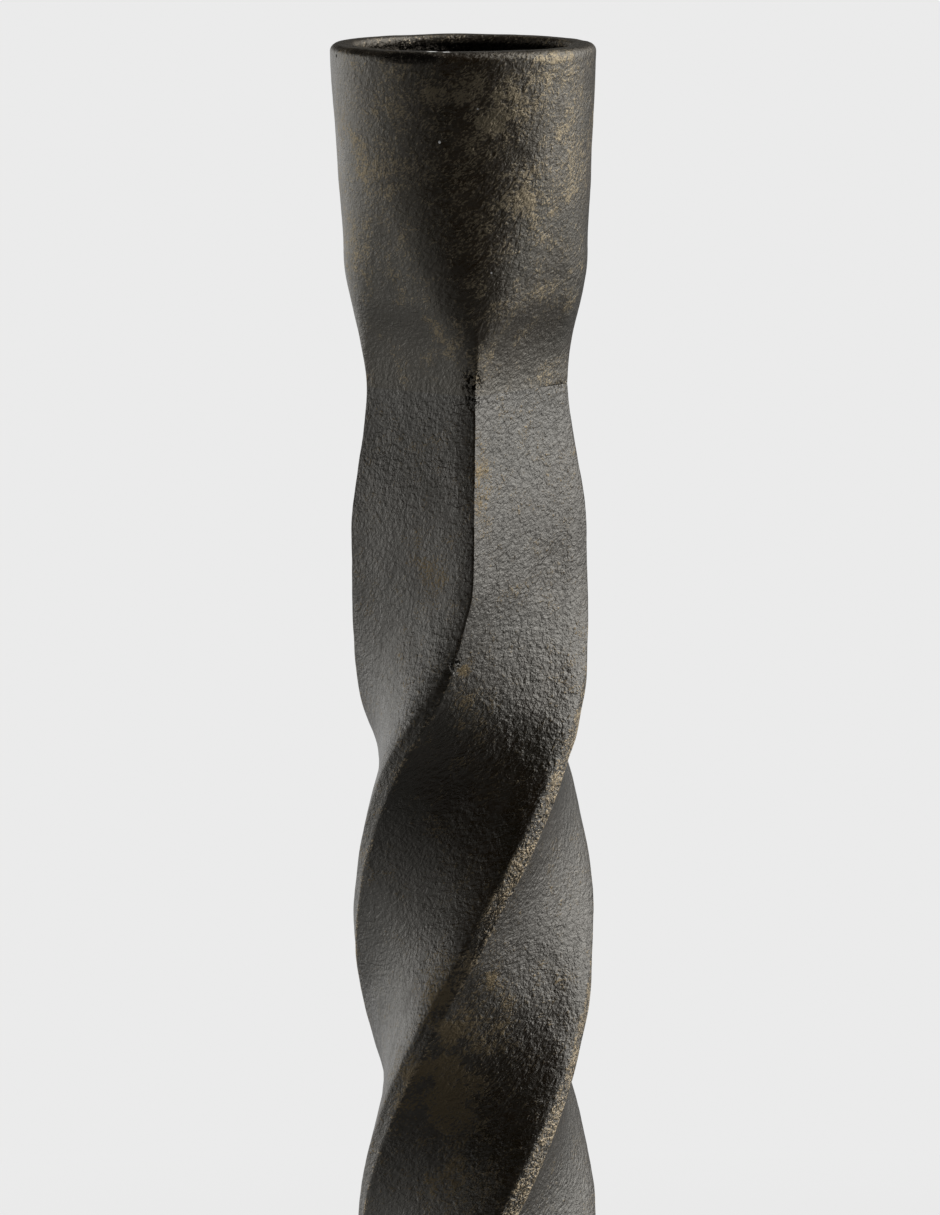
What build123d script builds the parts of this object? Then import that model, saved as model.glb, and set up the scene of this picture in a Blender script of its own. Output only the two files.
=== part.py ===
from build123d import *
import math
import os

# Spiral candle holder: a round cast cup on a twisted square stem, bolted to a round foot.
# Millimetres, +Z up. The table is at z = 0, the axis of the stem is the Z axis,
# and one corner of the square stem faces -Y.

# Candle cup
rim_diameter = 28.6
rim_outer_edge_radius = 0.8
rim_inner_edge_radius = 0.5
cup_height = 37.0
cup_taper_depth = 22.0
cup_taper_diameter = 26.2
cup_round_depth = 13.0
cup_square_depth = 32.0
socket_diameter = 23.0
socket_depth = 20.0
socket_floor_radius = 4.0

# Square bar of the stem, the same from both ends
neck_width = 15.8
neck_corner_radius = 0.8
shoulder_distance = 16.0
shoulder_width = 18.3
shoulder_corner_radius = 0.6
bar_width = 20.2
bar_land_leg = 1.6
bar_land_crown = 12.0
bar_blend_length = 14.0
straight_length = 23.0

# Twist of the bar, right-handed
quarter_turns = 6
quarter_turn_length = 35.4
twist_ease_length = 6.0

# Foot
foot_diameter = 110.0
foot_edge_height = 6.5
foot_edge_radius = 2.5
foot_lower_edge_radius = 1.0
foot_crown_rise = 2.6
collar_diameter = 30.0
collar_flare_radius = 5.0
collar_edge_radius = 1.5
stem_seat_depth = 2.0
foot_web_thickness = 5.0

# Felt pad
felt_diameter = 100.0
felt_thickness = 2.0
felt_recess_depth = 1.0

# Stud, bolt and washers
thread_diameter = 6.0
thread_end_chamfer = 0.8
stud_length = 20.0
bolt_length = 30.0
bolt_head_width = 10.0
bolt_head_height = 4.0
bolt_head_chamfer = 0.6
washer_diameter = 12.0
washer_thickness = 1.6
washer_hole_diameter = 6.4
spring_washer_diameter = 11.0
spring_washer_thickness = 1.6
spring_washer_gap = 1.2
spring_washer_gap_tilt = 25.0
counterbore_diameter = 15.0
drill_point_angle = 118.0

# Fits
thread_clearance = 0.05
thread_run_out = 2.0
bolt_hole_clearance = 0.3
seat_clearance = 0.15
felt_clearance = 0.3

# Modelling
cut_overrun = 1.0
corner_turn = 45.0
round_crown = 45.0
sections_per_quarter = 6
end_sections = 8
cup_sections = 8
round_side_angle = 10.0

# Heights that follow from the sizes above
foot_bottom = felt_thickness - felt_recess_depth
collar_top = (foot_bottom + foot_edge_height + foot_crown_rise
              + collar_flare_radius + collar_edge_radius)
stem_bottom = collar_top - stem_seat_depth
counterbore_roof = stem_bottom - foot_web_thickness
twist_length = quarter_turns * quarter_turn_length
stem_length = twist_length + 2 * straight_length
stem_top = stem_bottom + stem_length
rim_top = stem_top + cup_height
bolt_head_top = counterbore_roof - washer_thickness - spring_washer_thickness


def ease(share):
    """Smooth step from 0 to 1."""
    share = min(max(share, 0), 1)
    return share * share * (3 - 2 * share)


def blend(start, end, share):
    """Value between start and end."""
    return start + (end - start) * share


def square_level(width, corner_leg, crown, height, turn):
    """The bar's outline at one height: a square whose corners are cut back to crowned lands.

    At a crown of 45 degrees the land is a round that runs smoothly into both sides.
    """
    half_width = width / 2
    side_end = half_width - corner_leg
    land_radius = corner_leg / (math.sqrt(2) * math.sin(math.radians(crown)))
    outline = []
    for side in range(4):
        outline.append(Rot(0, 0, side * 90) * Line((half_width, -side_end), (half_width, side_end)))
        land = RadiusArc((half_width, side_end), (side_end, half_width), -land_radius)
        outline.append(Rot(0, 0, side * 90) * land)
    return Pos(0, 0, height) * Rot(0, 0, corner_turn + turn) * make_face(outline)


def round_level(radius, height):
    """A circle in eight arcs, one for each side and corner of a square level."""
    arcs = []
    for side in range(4):
        middle = corner_turn + side * 90
        side_start = middle - round_side_angle / 2
        corner_arc = 90 - round_side_angle
        arcs.append(CenterArc((0, 0), radius, side_start, round_side_angle))
        arcs.append(CenterArc((0, 0), radius, side_start + round_side_angle, corner_arc))
    return Pos(0, 0, height) * make_face(arcs)


def drilled_hole(diameter, depth):
    """Blind hole below z = 0 with the drill's point at its end, as a solid to cut."""
    radius = diameter / 2
    point_depth = radius / math.tan(math.radians(drill_point_angle / 2))
    outline = Polyline(
        (0, cut_overrun),
        (radius, cut_overrun),
        (radius, -depth),
        (0, -depth - point_depth),
        close=True,
    )
    return revolve(Plane.XZ * make_face(outline), Axis.Z)


def cup_reach(depth):
    """Distance from the axis to the cup's corner, or to its round wall, below the rim."""
    neck_reach = (neck_width / 2 - neck_corner_radius) * math.sqrt(2) + neck_corner_radius
    taper_share = depth / cup_taper_depth
    tapered = blend(rim_diameter, cup_taper_diameter, min(taper_share, 1)) / 2
    neck_share = (depth - cup_taper_depth) / (cup_height - cup_taper_depth)
    return blend(tapered, neck_reach, ease(neck_share))


def cup_level(depth):
    """The cup's outline between its round wall and its square neck."""
    reach = cup_reach(depth)
    neck_share = ease((depth - cup_round_depth) / (cup_square_depth - cup_round_depth))
    neck_roundness_share = neck_corner_radius / cup_reach(cup_height)
    corner_radius = reach * blend(1, neck_roundness_share, neck_share)
    half_width = (reach - corner_radius) / math.sqrt(2) + corner_radius
    return square_level(2 * half_width, corner_radius, round_crown, rim_top - depth, 0)


def cup_wall():
    """The round upper part of the cup, with its rounded rim, before the socket is cut."""
    edge = rim_outer_edge_radius
    lower_radius = cup_reach(cup_round_depth)
    lower = rim_top - cup_round_depth
    edge_radius = cup_reach(edge)
    outline = [
        Line((0, lower), (lower_radius, lower)),
        Line((lower_radius, lower), (edge_radius, rim_top - edge)),
        RadiusArc((edge_radius, rim_top - edge), (edge_radius - edge, rim_top), -edge),
        Line((edge_radius - edge, rim_top), (0, rim_top)),
        Line((0, rim_top), (0, lower)),
    ]
    return revolve(Plane.XZ * make_face(outline), Axis.Z)


def candle_socket():
    """The blind hole for the candle, with a rounded floor and a rounded mouth, as a solid to cut."""
    radius = socket_diameter / 2
    edge = rim_inner_edge_radius
    floor = rim_top - socket_depth
    above = rim_top + cut_overrun
    outline = [
        Line((0, floor), (radius - socket_floor_radius, floor)),
        RadiusArc((radius - socket_floor_radius, floor),
                  (radius, floor + socket_floor_radius), -socket_floor_radius),
        Line((radius, floor + socket_floor_radius), (radius, rim_top - edge)),
        RadiusArc((radius, rim_top - edge), (radius + edge, rim_top), edge),
        Line((radius + edge, rim_top), (radius + edge, above)),
        Line((radius + edge, above), (0, above)),
        Line((0, above), (0, floor)),
    ]
    return revolve(Plane.XZ * make_face(outline), Axis.Z)


def stud_hole():
    """Tapped hole for one half of the stud, as a solid to cut."""
    return drilled_hole(thread_diameter + 2 * thread_clearance, stud_length / 2 + thread_run_out)


def make_candle_cup():
    """Round cup whose wall draws in to the square neck."""
    step = (cup_height - cup_round_depth) / cup_sections
    levels = [round_level(cup_reach(cup_round_depth), rim_top - cup_round_depth)]
    levels += [cup_level(cup_round_depth + step * count) for count in range(1, cup_sections + 1)]
    cup = cup_wall() + loft(levels)
    cup -= candle_socket()
    return cup - Pos(0, 0, stem_top) * Rot(180, 0, 0) * stud_hole()


def bar_level(distance):
    """The stem's outline at a distance below its top."""
    end_distance = min(distance, stem_length - distance)
    shoulder_share = ease(end_distance / shoulder_distance)
    bar_share = ease((end_distance - straight_length) / bar_blend_length)
    width = blend(blend(neck_width, shoulder_width, shoulder_share), bar_width, bar_share)
    corner_leg = blend(neck_corner_radius, shoulder_corner_radius, shoulder_share)
    corner_leg = blend(corner_leg, bar_land_leg, bar_share)
    crown = blend(round_crown, bar_land_crown, bar_share)
    return square_level(width, corner_leg, crown, stem_top - distance, -twist_at(distance))


def eased_length(length):
    """Length that has turned so far, easing in where the twist starts."""
    ramp = min(max(length + twist_ease_length / 2, 0), twist_ease_length)
    return ramp * ramp / (2 * twist_ease_length) + max(length - twist_ease_length / 2, 0)


def twist_at(distance):
    """Turn of the bar, in degrees, at a distance below the stem's top."""
    turned = eased_length(distance - straight_length)
    turned -= eased_length(distance - straight_length - twist_length)
    return 90 * turned / quarter_turn_length


def make_twisted_stem():
    """Square bar, straight at both ends and twisted between them, tapped at both ends."""
    end_step = straight_length / end_sections
    distances = [end_step * count for count in range(end_sections)]
    twist_sections = quarter_turns * sections_per_quarter
    twist_step = twist_length / twist_sections
    distances += [straight_length + twist_step * count for count in range(twist_sections)]
    distances += [stem_length - end_step * count for count in range(end_sections, -1, -1)]
    stem = loft([bar_level(distance) for distance in distances])
    stem -= Pos(0, 0, stem_top) * stud_hole()
    bolt_reach = bolt_head_top + bolt_length - stem_bottom
    bolt_hole = drilled_hole(thread_diameter + 2 * thread_clearance, bolt_reach + thread_run_out)
    return stem - Pos(0, 0, stem_bottom) * Rot(180, 0, 0) * bolt_hole


def make_cup_stud():
    """Threaded stud, one half in the cup and one half in the stem."""
    stud = Pos(0, 0, stem_top) * Cylinder(thread_diameter / 2, stud_length)
    return chamfer(stud.edges().filter_by(GeomType.CIRCLE), thread_end_chamfer)


def foot_body():
    """Low domed disc that flares up to the collar."""
    radius = foot_diameter / 2
    edge_top = foot_bottom + foot_edge_height
    crown = edge_top + foot_crown_rise
    collar_radius = collar_diameter / 2
    flare_start = collar_radius + collar_flare_radius
    flare_top = crown + collar_flare_radius
    low = foot_lower_edge_radius
    dome_slope = math.degrees(math.atan2(foot_crown_rise, radius - foot_edge_radius - flare_start))
    outline = [
        Line((0, foot_bottom), (radius - low, foot_bottom)),
        RadiusArc((radius - low, foot_bottom), (radius, foot_bottom + low), -low),
        Line((radius, foot_bottom + low), (radius, edge_top - foot_edge_radius)),
        RadiusArc((radius, edge_top - foot_edge_radius), (radius - foot_edge_radius, edge_top),
                  -foot_edge_radius),
        SagittaArc((radius - foot_edge_radius, edge_top), (flare_start, crown),
                   -(radius - flare_start) / 2 * math.tan(math.radians(dome_slope / 2))),
        RadiusArc((flare_start, crown), (collar_radius, flare_top), collar_flare_radius),
        RadiusArc((collar_radius, flare_top), (collar_radius - collar_edge_radius, collar_top),
                  -collar_edge_radius),
        Line((collar_radius - collar_edge_radius, collar_top), (0, collar_top)),
        Line((0, collar_top), (0, foot_bottom)),
    ]
    return revolve(Plane.XZ * make_face(outline), Axis.Z)


def stem_seat():
    """Square seat in the collar that keeps the stem from turning, as a solid to cut."""
    width = neck_width + 2 * seat_clearance
    outline = square_level(width, neck_corner_radius + seat_clearance, round_crown, stem_bottom, 0)
    return extrude(outline, stem_seat_depth + cut_overrun)


def make_foot():
    """Cast foot with the stem's seat above and room for bolt and felt below."""
    foot = foot_body() - stem_seat()
    recess_radius = felt_diameter / 2 + felt_clearance
    recess = Cylinder(recess_radius, felt_recess_depth + cut_overrun,
                      align=(Align.CENTER, Align.CENTER, Align.MAX))
    foot -= Pos(0, 0, felt_thickness) * recess
    counterbore = Cylinder(counterbore_diameter / 2, counterbore_roof,
                           align=(Align.CENTER, Align.CENTER, Align.MAX))
    foot -= Pos(0, 0, counterbore_roof) * counterbore
    bolt_hole = Cylinder(thread_diameter / 2 + bolt_hole_clearance, 2 * foot_web_thickness)
    return foot - Pos(0, 0, stem_bottom - foot_web_thickness / 2) * bolt_hole


def make_foot_bolt():
    """Hexagon bolt that pulls the stem onto the foot."""
    upwards = (Align.CENTER, Align.CENTER, Align.MIN)
    shank = Cylinder(thread_diameter / 2, bolt_length, align=upwards)
    shank = chamfer(shank.edges().group_by(Axis.Z)[-1], thread_end_chamfer)
    head = extrude(RegularPolygon(bolt_head_width / 2, 6, major_radius=False), -bolt_head_height)
    crown_radius = bolt_head_width / math.sqrt(3)
    crown = Cylinder(crown_radius, bolt_head_height, align=(Align.CENTER, Align.CENTER, Align.MAX))
    crown = chamfer(crown.edges().group_by(Axis.Z)[0], bolt_head_chamfer)
    return Pos(0, 0, bolt_head_top) * (shank + (head & crown))


def make_spring_washer():
    """Split ring, pressed flat between the bolt's head and the flat washer."""
    ring = Cylinder(spring_washer_diameter / 2, spring_washer_thickness)
    ring -= Cylinder(washer_hole_diameter / 2, 2 * spring_washer_thickness)
    gap = Box(spring_washer_diameter, spring_washer_gap, 2 * spring_washer_thickness + spring_washer_gap)
    gap = Pos(spring_washer_diameter / 2, 0, 0) * Rot(spring_washer_gap_tilt, 0, 0) * gap
    return Pos(0, 0, bolt_head_top + spring_washer_thickness / 2) * (ring - gap)


def make_flat_washer():
    """Plain washer against the roof of the counterbore."""
    ring = Cylinder(washer_diameter / 2, washer_thickness)
    ring -= Cylinder(washer_hole_diameter / 2, 2 * washer_thickness)
    return Pos(0, 0, counterbore_roof - washer_thickness / 2) * ring


def make_felt_pad():
    """Felt disc that stands proud of the foot's recess."""
    return Cylinder(felt_diameter / 2, felt_thickness, align=(Align.CENTER, Align.CENTER, Align.MIN))


os.makedirs("parts", exist_ok=True)
export_step(make_candle_cup(), "parts/candle_cup.step")
export_step(make_twisted_stem(), "parts/twisted_stem.step")
export_step(make_cup_stud(), "parts/cup_stud.step")
export_step(make_foot(), "parts/foot.step")
export_step(make_foot_bolt(), "parts/foot_bolt.step")
export_step(make_spring_washer(), "parts/spring_washer.step")
export_step(make_flat_washer(), "parts/flat_washer.step")
export_step(make_felt_pad(), "parts/felt_pad.step")
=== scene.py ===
"""Spiral candle holder: a cast cup on a twisted square stem, bolted to a round foot with a felt pad."""
import logging
import math
from dataclasses import dataclass, field, fields
from enum import Enum
from typing import Callable, Sequence

import bmesh
import bpy
from mathutils import Matrix, Vector


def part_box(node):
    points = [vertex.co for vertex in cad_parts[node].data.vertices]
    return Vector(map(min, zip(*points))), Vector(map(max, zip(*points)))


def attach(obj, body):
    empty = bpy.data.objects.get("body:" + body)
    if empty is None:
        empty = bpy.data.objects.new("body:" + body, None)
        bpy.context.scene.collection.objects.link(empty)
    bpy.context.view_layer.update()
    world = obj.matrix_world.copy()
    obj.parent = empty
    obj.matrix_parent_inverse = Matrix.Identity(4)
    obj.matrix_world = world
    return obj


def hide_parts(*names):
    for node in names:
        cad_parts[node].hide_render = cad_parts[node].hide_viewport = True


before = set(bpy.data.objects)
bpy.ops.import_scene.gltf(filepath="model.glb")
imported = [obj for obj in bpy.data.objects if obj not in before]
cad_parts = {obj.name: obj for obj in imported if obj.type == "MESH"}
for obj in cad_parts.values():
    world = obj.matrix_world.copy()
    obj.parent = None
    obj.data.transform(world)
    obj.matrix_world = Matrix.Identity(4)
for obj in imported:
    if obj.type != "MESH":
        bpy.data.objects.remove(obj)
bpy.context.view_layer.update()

MM = 0.001
BODY = "root"
CORNER_TURN = math.radians(45)
QUARTER = math.radians(90)
# Of the points from a corner to the middle of a side, CORNER_POINTS is the share that lies on the corner
# itself, and the points from there to NEAR_POINTS share the short length beside it.
CORNER_POINTS = 0.55
NEAR_POINTS = 0.62
NEAR_LENGTH = 0.9 * MM
# Faces that meet at more than this many degrees keep a crease.
CASTING_CREASE = 60
STEEL_CREASE = 40
# The rim's height in metres, and how many millimetres below it the cup meets the stem.
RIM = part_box("candle_cup")[1].z
SEAM_DEPTH = (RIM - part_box("candle_cup")[0].z) / MM
log = logging.getLogger("candle_holder")

Socket = bpy.types.NodeSocket
Feed = Socket | bpy.types.Material | float | int | str | Sequence[float]
Colour = tuple[float, float, float, float]


class Attribute(Enum):
    """Names of the values that each point of a casting carries for its finish."""

    SKIN = "cast_skin"
    WEAR = "ridge_wear"
    BAND = "ridge_band"
    ACROSS = "across_face"
    # Painted shade: a darker, less reflective colour in the cup's socket and on its rim's top and lips.
    SOOT = "socket_soot"


class SocketKind(Enum):
    """Kinds of sockets on a node group."""

    NUMBER = "NodeSocketFloat"
    COUNT = "NodeSocketInt"
    PLACE = "NodeSocketVector"
    MATERIAL = "NodeSocketMaterial"
    GEOMETRY = "NodeSocketGeometry"


class TreeKind(Enum):
    """Kinds of node groups."""

    SHADER = "ShaderNodeTree"
    GEOMETRY = "GeometryNodeTree"


class Ramp(Enum):
    """How a mapped value runs from one end to the other."""

    EVEN = "LINEAR"
    SMOOTH = "SMOOTHSTEP"


def ease(share: float) -> float:
    """Smooth step from 0 to 1."""
    share = min(max(share, 0.0), 1.0)
    return share * share * (3 - 2 * share)


def blend(start: float, end: float, share: float) -> float:
    """Value between start and end."""
    return start + (end - start) * share


def steps(start: float, end: float, spacing: float) -> list[float]:
    """Even steps from start to end.

    Args:
        start: First value.
        end: Last value.
        spacing: Widest step between two values.

    Returns:
        The values, with both ends.
    """
    count = max(1, math.ceil(abs(end - start) / spacing))
    return [blend(start, end, index / count) for index in range(count + 1)]


def around_axis(azimuth: float, radius: float, height: float) -> Vector:
    """Point round the stem's axis; azimuth 0 is the side that faces the camera, in degrees."""
    angle = math.radians(azimuth)
    return Vector((radius * math.sin(angle), -radius * math.cos(angle), height))


def corner_reach(width: float, corner_radius: float) -> float:
    """Distance from the axis to the rounded corner of a square."""
    return (width / 2 - corner_radius) * math.sqrt(2) + corner_radius


def tree_values(owner: object, names: Sequence[str], prefix: str = "") -> dict[str, object]:
    """A tree's inputs, from fields that have the same names in small letters.

    Args:
        owner: What has the fields.
        names: The fields.
        prefix: What the inputs' names start with.

    Returns:
        The values by the inputs' names.
    """
    return {prefix + name.replace("_", " ").title(): getattr(owner, name) for name in names}


class Graph:
    """A node tree that is being drawn, with short calls for the nodes that are used most."""

    def __init__(self, tree: bpy.types.NodeTree) -> None:
        """Starts to draw in a tree."""
        self.tree = tree

    def feed(self, socket: Socket, value: Feed) -> None:
        """Links a socket to another node's output, or sets its value.

        Args:
            socket: The socket.
            value: The output to link, or the value.
        """
        if isinstance(value, Socket):
            self.tree.links.new(value, socket)
        else:
            socket.default_value = value

    def add(self, kind: str, feeds: dict[str | int, Feed] | None = None,
            **settings: object) -> bpy.types.Node:
        """Adds a node.

        Args:
            kind: Blender's name for the node's type.
            feeds: What goes into its sockets, by name or number.
            **settings: The node's own properties.

        Returns:
            The new node.
        """
        node = self.tree.nodes.new(kind)
        for name, value in settings.items():
            setattr(node, name, value)
        for name, value in (feeds or {}).items():
            self.feed(node.inputs[name], value)
        return node

    def math(self, operation: str, *values: Feed, clamp: bool = False) -> Socket:
        """Sum of numbers, such as ADD or MULTIPLY."""
        node = self.add("ShaderNodeMath", dict(enumerate(values)), operation=operation, use_clamp=clamp)
        return node.outputs[0]

    def times(self, first: Feed, second: Feed) -> Socket:
        """Product of two numbers."""
        return self.math("MULTIPLY", first, second)

    def plus(self, first: Feed, second: Feed) -> Socket:
        """Sum of two numbers."""
        return self.math("ADD", first, second)

    def minus(self, first: Feed, second: Feed) -> Socket:
        """The first number less the second."""
        return self.math("SUBTRACT", first, second)

    def times_plus(self, value: Feed, factor: Feed, base: Feed) -> Socket:
        """A number times a factor, plus a base."""
        return self.math("MULTIPLY_ADD", value, factor, base)

    def most(self, first: Feed, second: Feed) -> Socket:
        """The greater of two numbers."""
        return self.math("MAXIMUM", first, second)

    def vector(self, operation: str, *values: Feed) -> Socket:
        """Sum of vectors that gives a vector."""
        node = self.add("ShaderNodeVectorMath", dict(enumerate(values)), operation=operation)
        return node.outputs["Vector"]

    def measure(self, operation: str, *values: Feed) -> Socket:
        """Sum of vectors that gives a number, such as LENGTH or DOT_PRODUCT."""
        node = self.add("ShaderNodeVectorMath", dict(enumerate(values)), operation=operation)
        return node.outputs["Value"]

    def scaled(self, place: Feed, factor: Feed) -> Socket:
        """A vector times a number."""
        node = self.add("ShaderNodeVectorMath", {0: place, "Scale": factor}, operation="SCALE")
        return node.outputs["Vector"]

    def span(self, value: Feed, low: Feed, high: Feed, start: Feed = 0.0, end: Feed = 1.0,
             ramp: Ramp = Ramp.SMOOTH) -> Socket:
        """Maps low to start and high to end, and holds both ends.

        Args:
            value: The value to map.
            low: Where the ramp begins.
            high: Where the ramp ends.
            start: Result at low.
            end: Result at high.
            ramp: Even or smooth.

        Returns:
            The mapped value.
        """
        feeds = {"Value": value, "From Min": low, "From Max": high, "To Min": start, "To Max": end}
        node = self.add("ShaderNodeMapRange", feeds, interpolation_type=ramp.value, clamp=True)
        return node.outputs["Result"]

    def mixed(self, share: Feed, first: Feed, second: Feed) -> Socket:
        """Number between two numbers."""
        node = self.add("ShaderNodeMix", {0: share, 2: first, 3: second}, data_type="FLOAT")
        return node.outputs[0]

    def tinted(self, share: Feed, first: Feed, second: Feed) -> Socket:
        """Colour between two colours."""
        node = self.add("ShaderNodeMix", {0: share, 6: first, 7: second}, data_type="RGBA")
        return node.outputs[2]

    def noise(self, place: Feed, size: Feed, detail: float = 2.0, roughness: float = 0.5, seed: Feed = 0.0,
              colour: bool = False) -> Socket:
        """Cloudy noise with lumps of a given size.

        Args:
            place: Where to read the noise.
            size: Size of a lump, in metres.
            detail: How many finer layers it has.
            roughness: How strong the finer layers are.
            seed: Picks one of many patterns.
            colour: Whether to give three values in place of one.

        Returns:
            The noise, from 0 to 1.
        """
        scale = self.math("DIVIDE", 1.0, size)
        feeds = {"Vector": place, "W": seed, "Scale": scale, "Detail": detail, "Roughness": roughness}
        node = self.add("ShaderNodeTexNoise", feeds, noise_dimensions="4D")
        return node.outputs["Color"] if colour else node.outputs[0]

    def cells(self, place: Feed, size: Feed, feature: str = "F1", **feeds: Feed) -> bpy.types.Node:
        """Scattered cells of a given size.

        Args:
            place: Where to read the cells.
            size: Size of a cell, in metres.
            feature: Which distance the node gives.
            **feeds: What goes into its other sockets.

        Returns:
            The cell node.
        """
        scale = self.math("DIVIDE", 1.0, size)
        return self.add("ShaderNodeTexVoronoi", {"Vector": place, "Scale": scale, **feeds}, feature=feature)

    def split(self, place: Feed) -> tuple[Socket, Socket, Socket]:
        """The three parts of a vector."""
        outputs = self.add("ShaderNodeSeparateXYZ", {0: place}).outputs
        return outputs[0], outputs[1], outputs[2]

    def joined(self, x: Feed, y: Feed, z: Feed) -> Socket:
        """A vector from its three parts."""
        return self.add("ShaderNodeCombineXYZ", {0: x, 1: y, 2: z}).outputs[0]


@dataclass(frozen=True)
class Named:
    """A named socket of a node group."""

    name: str
    kind: SocketKind = SocketKind.NUMBER


class Group(Graph):
    """A node group with named inputs and outputs, built once and placed where it is needed."""

    def __init__(self, name: str, kind: TreeKind, inputs: Sequence[Named], outputs: Sequence[Named]) -> None:
        """Makes the group with its sockets.

        Args:
            name: The group's name.
            kind: Shader or geometry.
            inputs: Its inputs, in order.
            outputs: Its outputs, in order.
        """
        super().__init__(bpy.data.node_groups.new(name, kind.value))
        for socket in inputs:
            self.tree.interface.new_socket(socket.name, in_out="INPUT", socket_type=socket.kind.value)
        for socket in outputs:
            self.tree.interface.new_socket(socket.name, in_out="OUTPUT", socket_type=socket.kind.value)
        self.start = self.add("NodeGroupInput")
        self.end = self.add("NodeGroupOutput")

    def __getitem__(self, name: str) -> Socket:
        """What comes in through a named input."""
        return self.start.outputs[name]

    def give(self, name: str, value: Feed) -> None:
        """Sends a value out through a named output."""
        self.feed(self.end.inputs[name], value)

    def place_in(self, graph: Graph, **feeds: Feed) -> bpy.types.Node:
        """Places the group in another tree.

        Args:
            graph: The tree that uses the group.
            **feeds: What goes into its inputs; an underscore stands for a space.

        Returns:
            The group's node.
        """
        kind = "ShaderNodeGroup" if self.tree.type == "SHADER" else "GeometryNodeGroup"
        node = graph.add(kind, node_tree=self.tree)
        for name, value in feeds.items():
            graph.feed(node.inputs[name.replace("_", " ")], value)
        return node

    def set_input(self, modifier: bpy.types.NodesModifier, name: str, value: object) -> None:
        """Sets a modifier's input by the socket's identifier."""
        modifier[self.tree.interface.items_tree[name].identifier] = value


def numbers(*names: str) -> list[Named]:
    """Number sockets with these names."""
    return [Named(name) for name in names]


def shader_group(name: str, places: Sequence[str], values: Sequence[str], results: Sequence[str]) -> Group:
    """Starts a shader group.

    Args:
        name: The group's name.
        places: Names of the inputs that are places.
        values: Names of the inputs that are numbers.
        results: Names of the outputs, which are numbers.

    Returns:
        The group with its sockets.
    """
    inputs = [Named(place, SocketKind.PLACE) for place in places]
    return Group(name, TreeKind.SHADER, [*inputs, *numbers(*values)], numbers(*results))


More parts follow.
